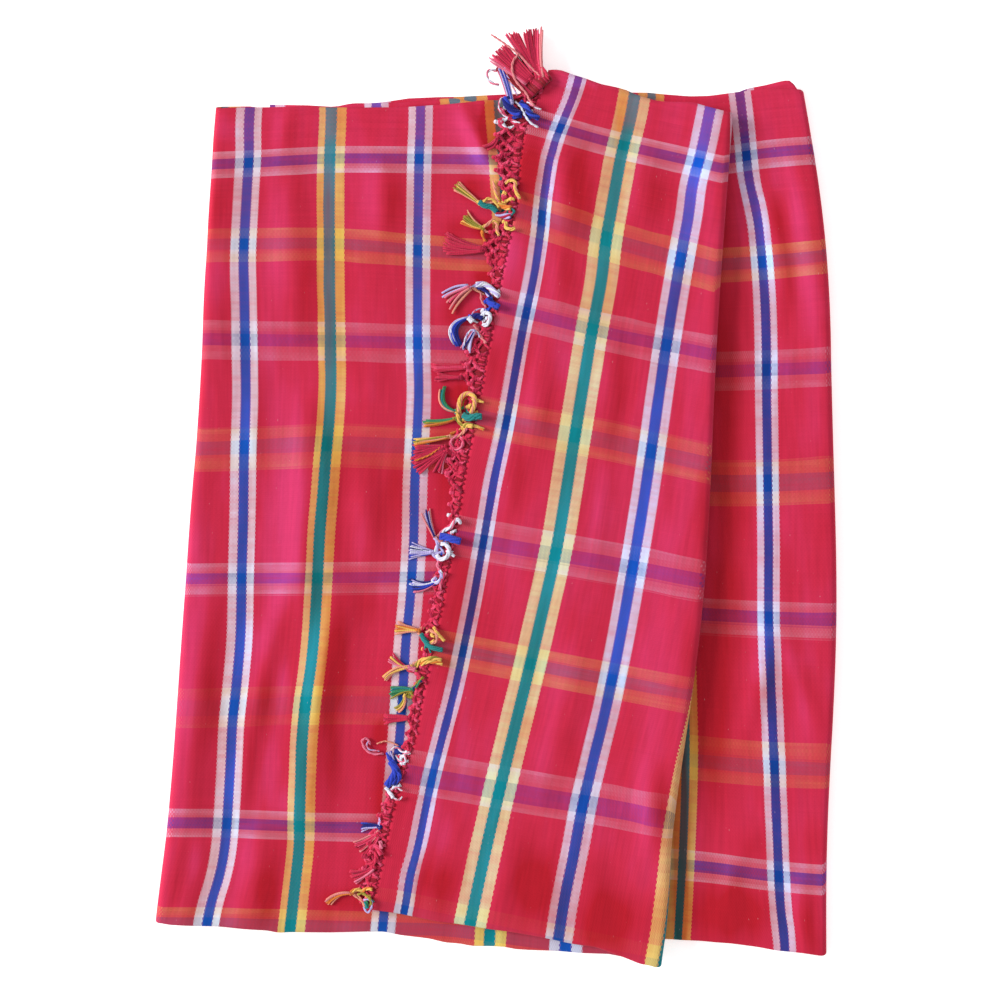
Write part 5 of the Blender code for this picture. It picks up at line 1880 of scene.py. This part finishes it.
    def loose_yarns(self) -> Piece:
        """The cords of YARNS, each a bundle of thinner strands wound about its path.

        They wind round once for each nine times its half thickness, and thin out at the two ends.
        """
        cords, stations, winding, thinnest, widens = Cords(), 28, 9.0, 0.6, 12
        for yarn in YARNS:
            plan = resampled(picture(yarn.points), stations)
            length = np.linalg.norm(np.diff(plan, axis=0), axis=1).sum()
            height = self.ground(plan[:, 0], plan[:, 1]) + yarn.radius + self.clear + yarn.lift
            path = np.column_stack([plan, height])
            strands, share = next(rest for below, *rest in STRANDS if yarn.radius < below)
            thin = yarn.radius * share
            level, rise = level_and_rise(path)
            start = 2 * math.pi * np.arange(strands)[:, None] / strands
            angle = start + 2 * math.pi * np.linspace(0, 1, stations) * length / (winding * yarn.radius)
            aside = np.cos(angle)[..., None] * level + np.sin(angle)[..., None] * rise
            ends = np.minimum(np.linspace(0, 1, stations), np.linspace(1, 0, stations))
            radii = np.tile(thin * np.clip(thinnest + ends * widens, 0, 1), (strands, 1))
            dyes = [Dye(yarn.dyes[k % len(yarn.dyes)]) for k in range(strands)]
            cords.add(path + (yarn.radius - thin) * aside, radii, dyes, sides=6)
        return cords.build("loose_yarns")


@dataclass(frozen=True)
class YarnFinish:
    """Soft twisted cotton, in the dye that each cord carries."""

    roughness: float = 0.9
    ply_slant: float = 4.2
    ply_lead: float = 2.5
    fibre_along: float = 0.5
    fibre_round: float = 2.0
    fibre_noise: Pair = (1.6, 3.0)
    crown_power: float = 0.6
    slant_height: float = 0.25
    fibre_shade: float = 0.55
    # Painted light across a cord: lighter on the crowns of the plies, darker in the groove between them, and
    # rising and falling along the twist's slant
    painted_slant_light: float = 0.07
    painted_crown_light: float = 0.12
    least_shade: float = 0.62
    specular: float = 0.2
    sheen: float = 0.15
    fibre_bump: Pair = (0.6, 0.0003)

    def yarn_twist(self) -> bpy.types.NodeTree:
        """Group: height and shade of a two-ply twist.

        The groove between the plies lies where the ring is thin, so the height is the size of cos a. Fine
        fibres are noise that runs along the cord.
        """
        sketch, given, sink = new_group(
            "yarn_twist", {"Twist": "Vector"}, {"Height": "Float", "Shade": "Float"})
        times, scaled = sketch.times, sketch.scaled
        along, cosine, sine = sketch.parts(given["Twist"])
        crown = sketch.math("POWER", sketch.math("ABSOLUTE", cosine), self.crown_power)
        slant = sketch.math("SINE", scaled(along, self.ply_slant, times(sine, self.ply_lead)))
        rates = ((along, self.fibre_along), (cosine, self.fibre_round), (sine, self.fibre_round))
        spun = sketch.vector(*(times(value, rate) for value, rate in rates))
        fibre = sketch.noise(spun, *self.fibre_noise)
        sketch.feed(sink.inputs["Height"], scaled(slant, self.slant_height, sketch.plus(crown, fibre)))
        # Painted shade in the groove, and painted highlight on the crowns and along the slant, plus the
        # fibres' noise below
        shade = scaled(slant, self.painted_slant_light, scaled(crown, self.painted_crown_light, self.least_shade))
        sketch.feed(sink.inputs["Shade"], scaled(fibre, self.fibre_shade, shade))
        return sketch.tree

    def material(self) -> bpy.types.Material:
        """The fringe's material."""
        material, sketch, shader = new_material("twisted_cotton")
        yarn = sketch.group(self.yarn_twist(), Twist=sketch.attribute("twist"))
        shade = sketch.vector(*[yarn.outputs["Shade"]] * 3)
        dyed = sketch.blend(1.0, sketch.attribute("dye", "Color"), shade, "MULTIPLY")
        sketch.feed(shader.inputs["Base Color"], dyed)
        shader.inputs["Roughness"].default_value = self.roughness
        shader.inputs["Specular IOR Level"].default_value = self.specular
        shader.inputs["Sheen Weight"].default_value = self.sheen
        bump = sketch.bump(yarn.outputs["Height"], *self.fibre_bump)
        sketch.feed(shader.inputs["Normal"], bump.outputs[0])
        return material


@dataclass(frozen=True)
class FloorFinish:
    """A plain pale surface, a little luminous."""

    colour: Colour = (0.985, 0.985, 0.985)
    darkest: float = 0.985
    glow: float = 0.5

    def material(self) -> bpy.types.Material:
        """The floor's material, with a trace of unevenness in its tone."""
        material, sketch, shader = new_material("pale_surface")
        clouds = sketch.noise(sketch.place("TexCoord").outputs["Object"], 3.0)
        toned = sketch.blend(clouds, self.colour, tuple(c * self.darkest for c in self.colour))
        sketch.feed(shader.inputs["Base Color"], toned)
        shader.inputs["Roughness"].default_value = 0.9
        shader.inputs["Specular IOR Level"].default_value = 0.0
        shader.inputs["Emission Color"].default_value = (1.0, 1.0, 1.0, 1.0)
        shader.inputs["Emission Strength"].default_value = self.glow
        return material


@dataclass(frozen=True)
class Studio:
    """Floor, soft light and the camera straight above."""

    lens: float = 85.0
    sensor: float = 36.0
    picture_size: Pair = (994.0, 995.0)
    cloth_height: float = 0.012
    floor_half: float = 3.0
    floor_down: float = 0.2
    sky: float = 0.60
    key_strength: float = 3.3
    key_spread: float = math.radians(24.0)
    key_place: tuple[float, float, float] = (-1.75, 0.35, 0.85)

    def floor(self) -> Piece:
        """A flat square under the blanket."""
        half = self.floor_half / MM
        signs = ((-1, -1), (1, -1), (1, 1), (-1, 1))
        corners = np.array([[x * half, y * half, -self.floor_down] for x, y in signs])
        floor = mesh_object("floor", corners, np.array([[0, 1, 2, 3]]))
        floor.data.materials.append(FloorFinish().material())
        return floor

    def light(self) -> None:
        """An even sky and one soft far lamp, low on the left, turned towards the blanket."""
        world = bpy.data.worlds.new("studio")
        world.use_nodes = True
        sky = world.node_tree.nodes["Background"]
        sky.inputs[0].default_value = (1.0, 1.0, 1.0, 1.0)
        sky.inputs[1].default_value = self.sky
        bpy.context.scene.world = world
        lamp = bpy.data.lights.new("key", "SUN")
        lamp.angle = self.key_spread
        lamp.energy = self.key_strength
        key = bpy.data.objects.new("key", lamp)
        key.location = self.key_place
        away = np.array(self.key_place)
        key.rotation_euler = (math.acos(away[2] / np.linalg.norm(away)), 0.0, math.atan2(away[0], -away[1]))
        bpy.context.scene.collection.objects.link(key)

    def camera(self) -> None:
        """A camera straight above whose picture has the photograph's scale at the height of the cloth."""
        data = bpy.data.cameras.new("camera")
        data.lens, data.sensor_width = self.lens, self.sensor
        width = self.picture_size[0] * PICTURE_SCALE * MM
        centre = picture([(self.picture_size[0] / 2, self.picture_size[1] / 2)])[0]
        camera = bpy.data.objects.new("camera", data)
        x, y = (centre + TABLE_ZERO[:2]) * MM
        camera.location = (x, y, width * self.lens / self.sensor + self.cloth_height)
        bpy.context.scene.collection.objects.link(camera)
        bpy.context.scene.camera = camera
        bpy.context.scene.view_settings.view_transform = "Standard"


def main() -> None:
    """Builds the blanket's pieces and the studio, and reports each piece."""
    logging.basicConfig(level=logging.INFO, format="%(message)s")
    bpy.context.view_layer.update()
    folded = FoldedCloth()
    cloth = folded.build()
    cloth.data.materials.append(WeaveFinish().material())
    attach(cloth, "root")
    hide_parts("cloth")
    fringe = KnottedFringe(folded)
    net, outer_knots = fringe.net()
    yarn = YarnFinish().material()
    fringe_pieces = [net, fringe.tassels(outer_knots), fringe.loose_yarns()]
    for piece in fringe_pieces:
        piece.data.materials.append(yarn)
        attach(piece, "root")
        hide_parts("fringe")
    studio = Studio()
    studio.floor()
    studio.light()
    studio.camera()
    for piece in bpy.context.scene.objects:
        if piece.type == "MESH":
            logging.info("%s: %d faces", piece.name, len(piece.data.polygons))


if __name__ == "__main__":
    main()
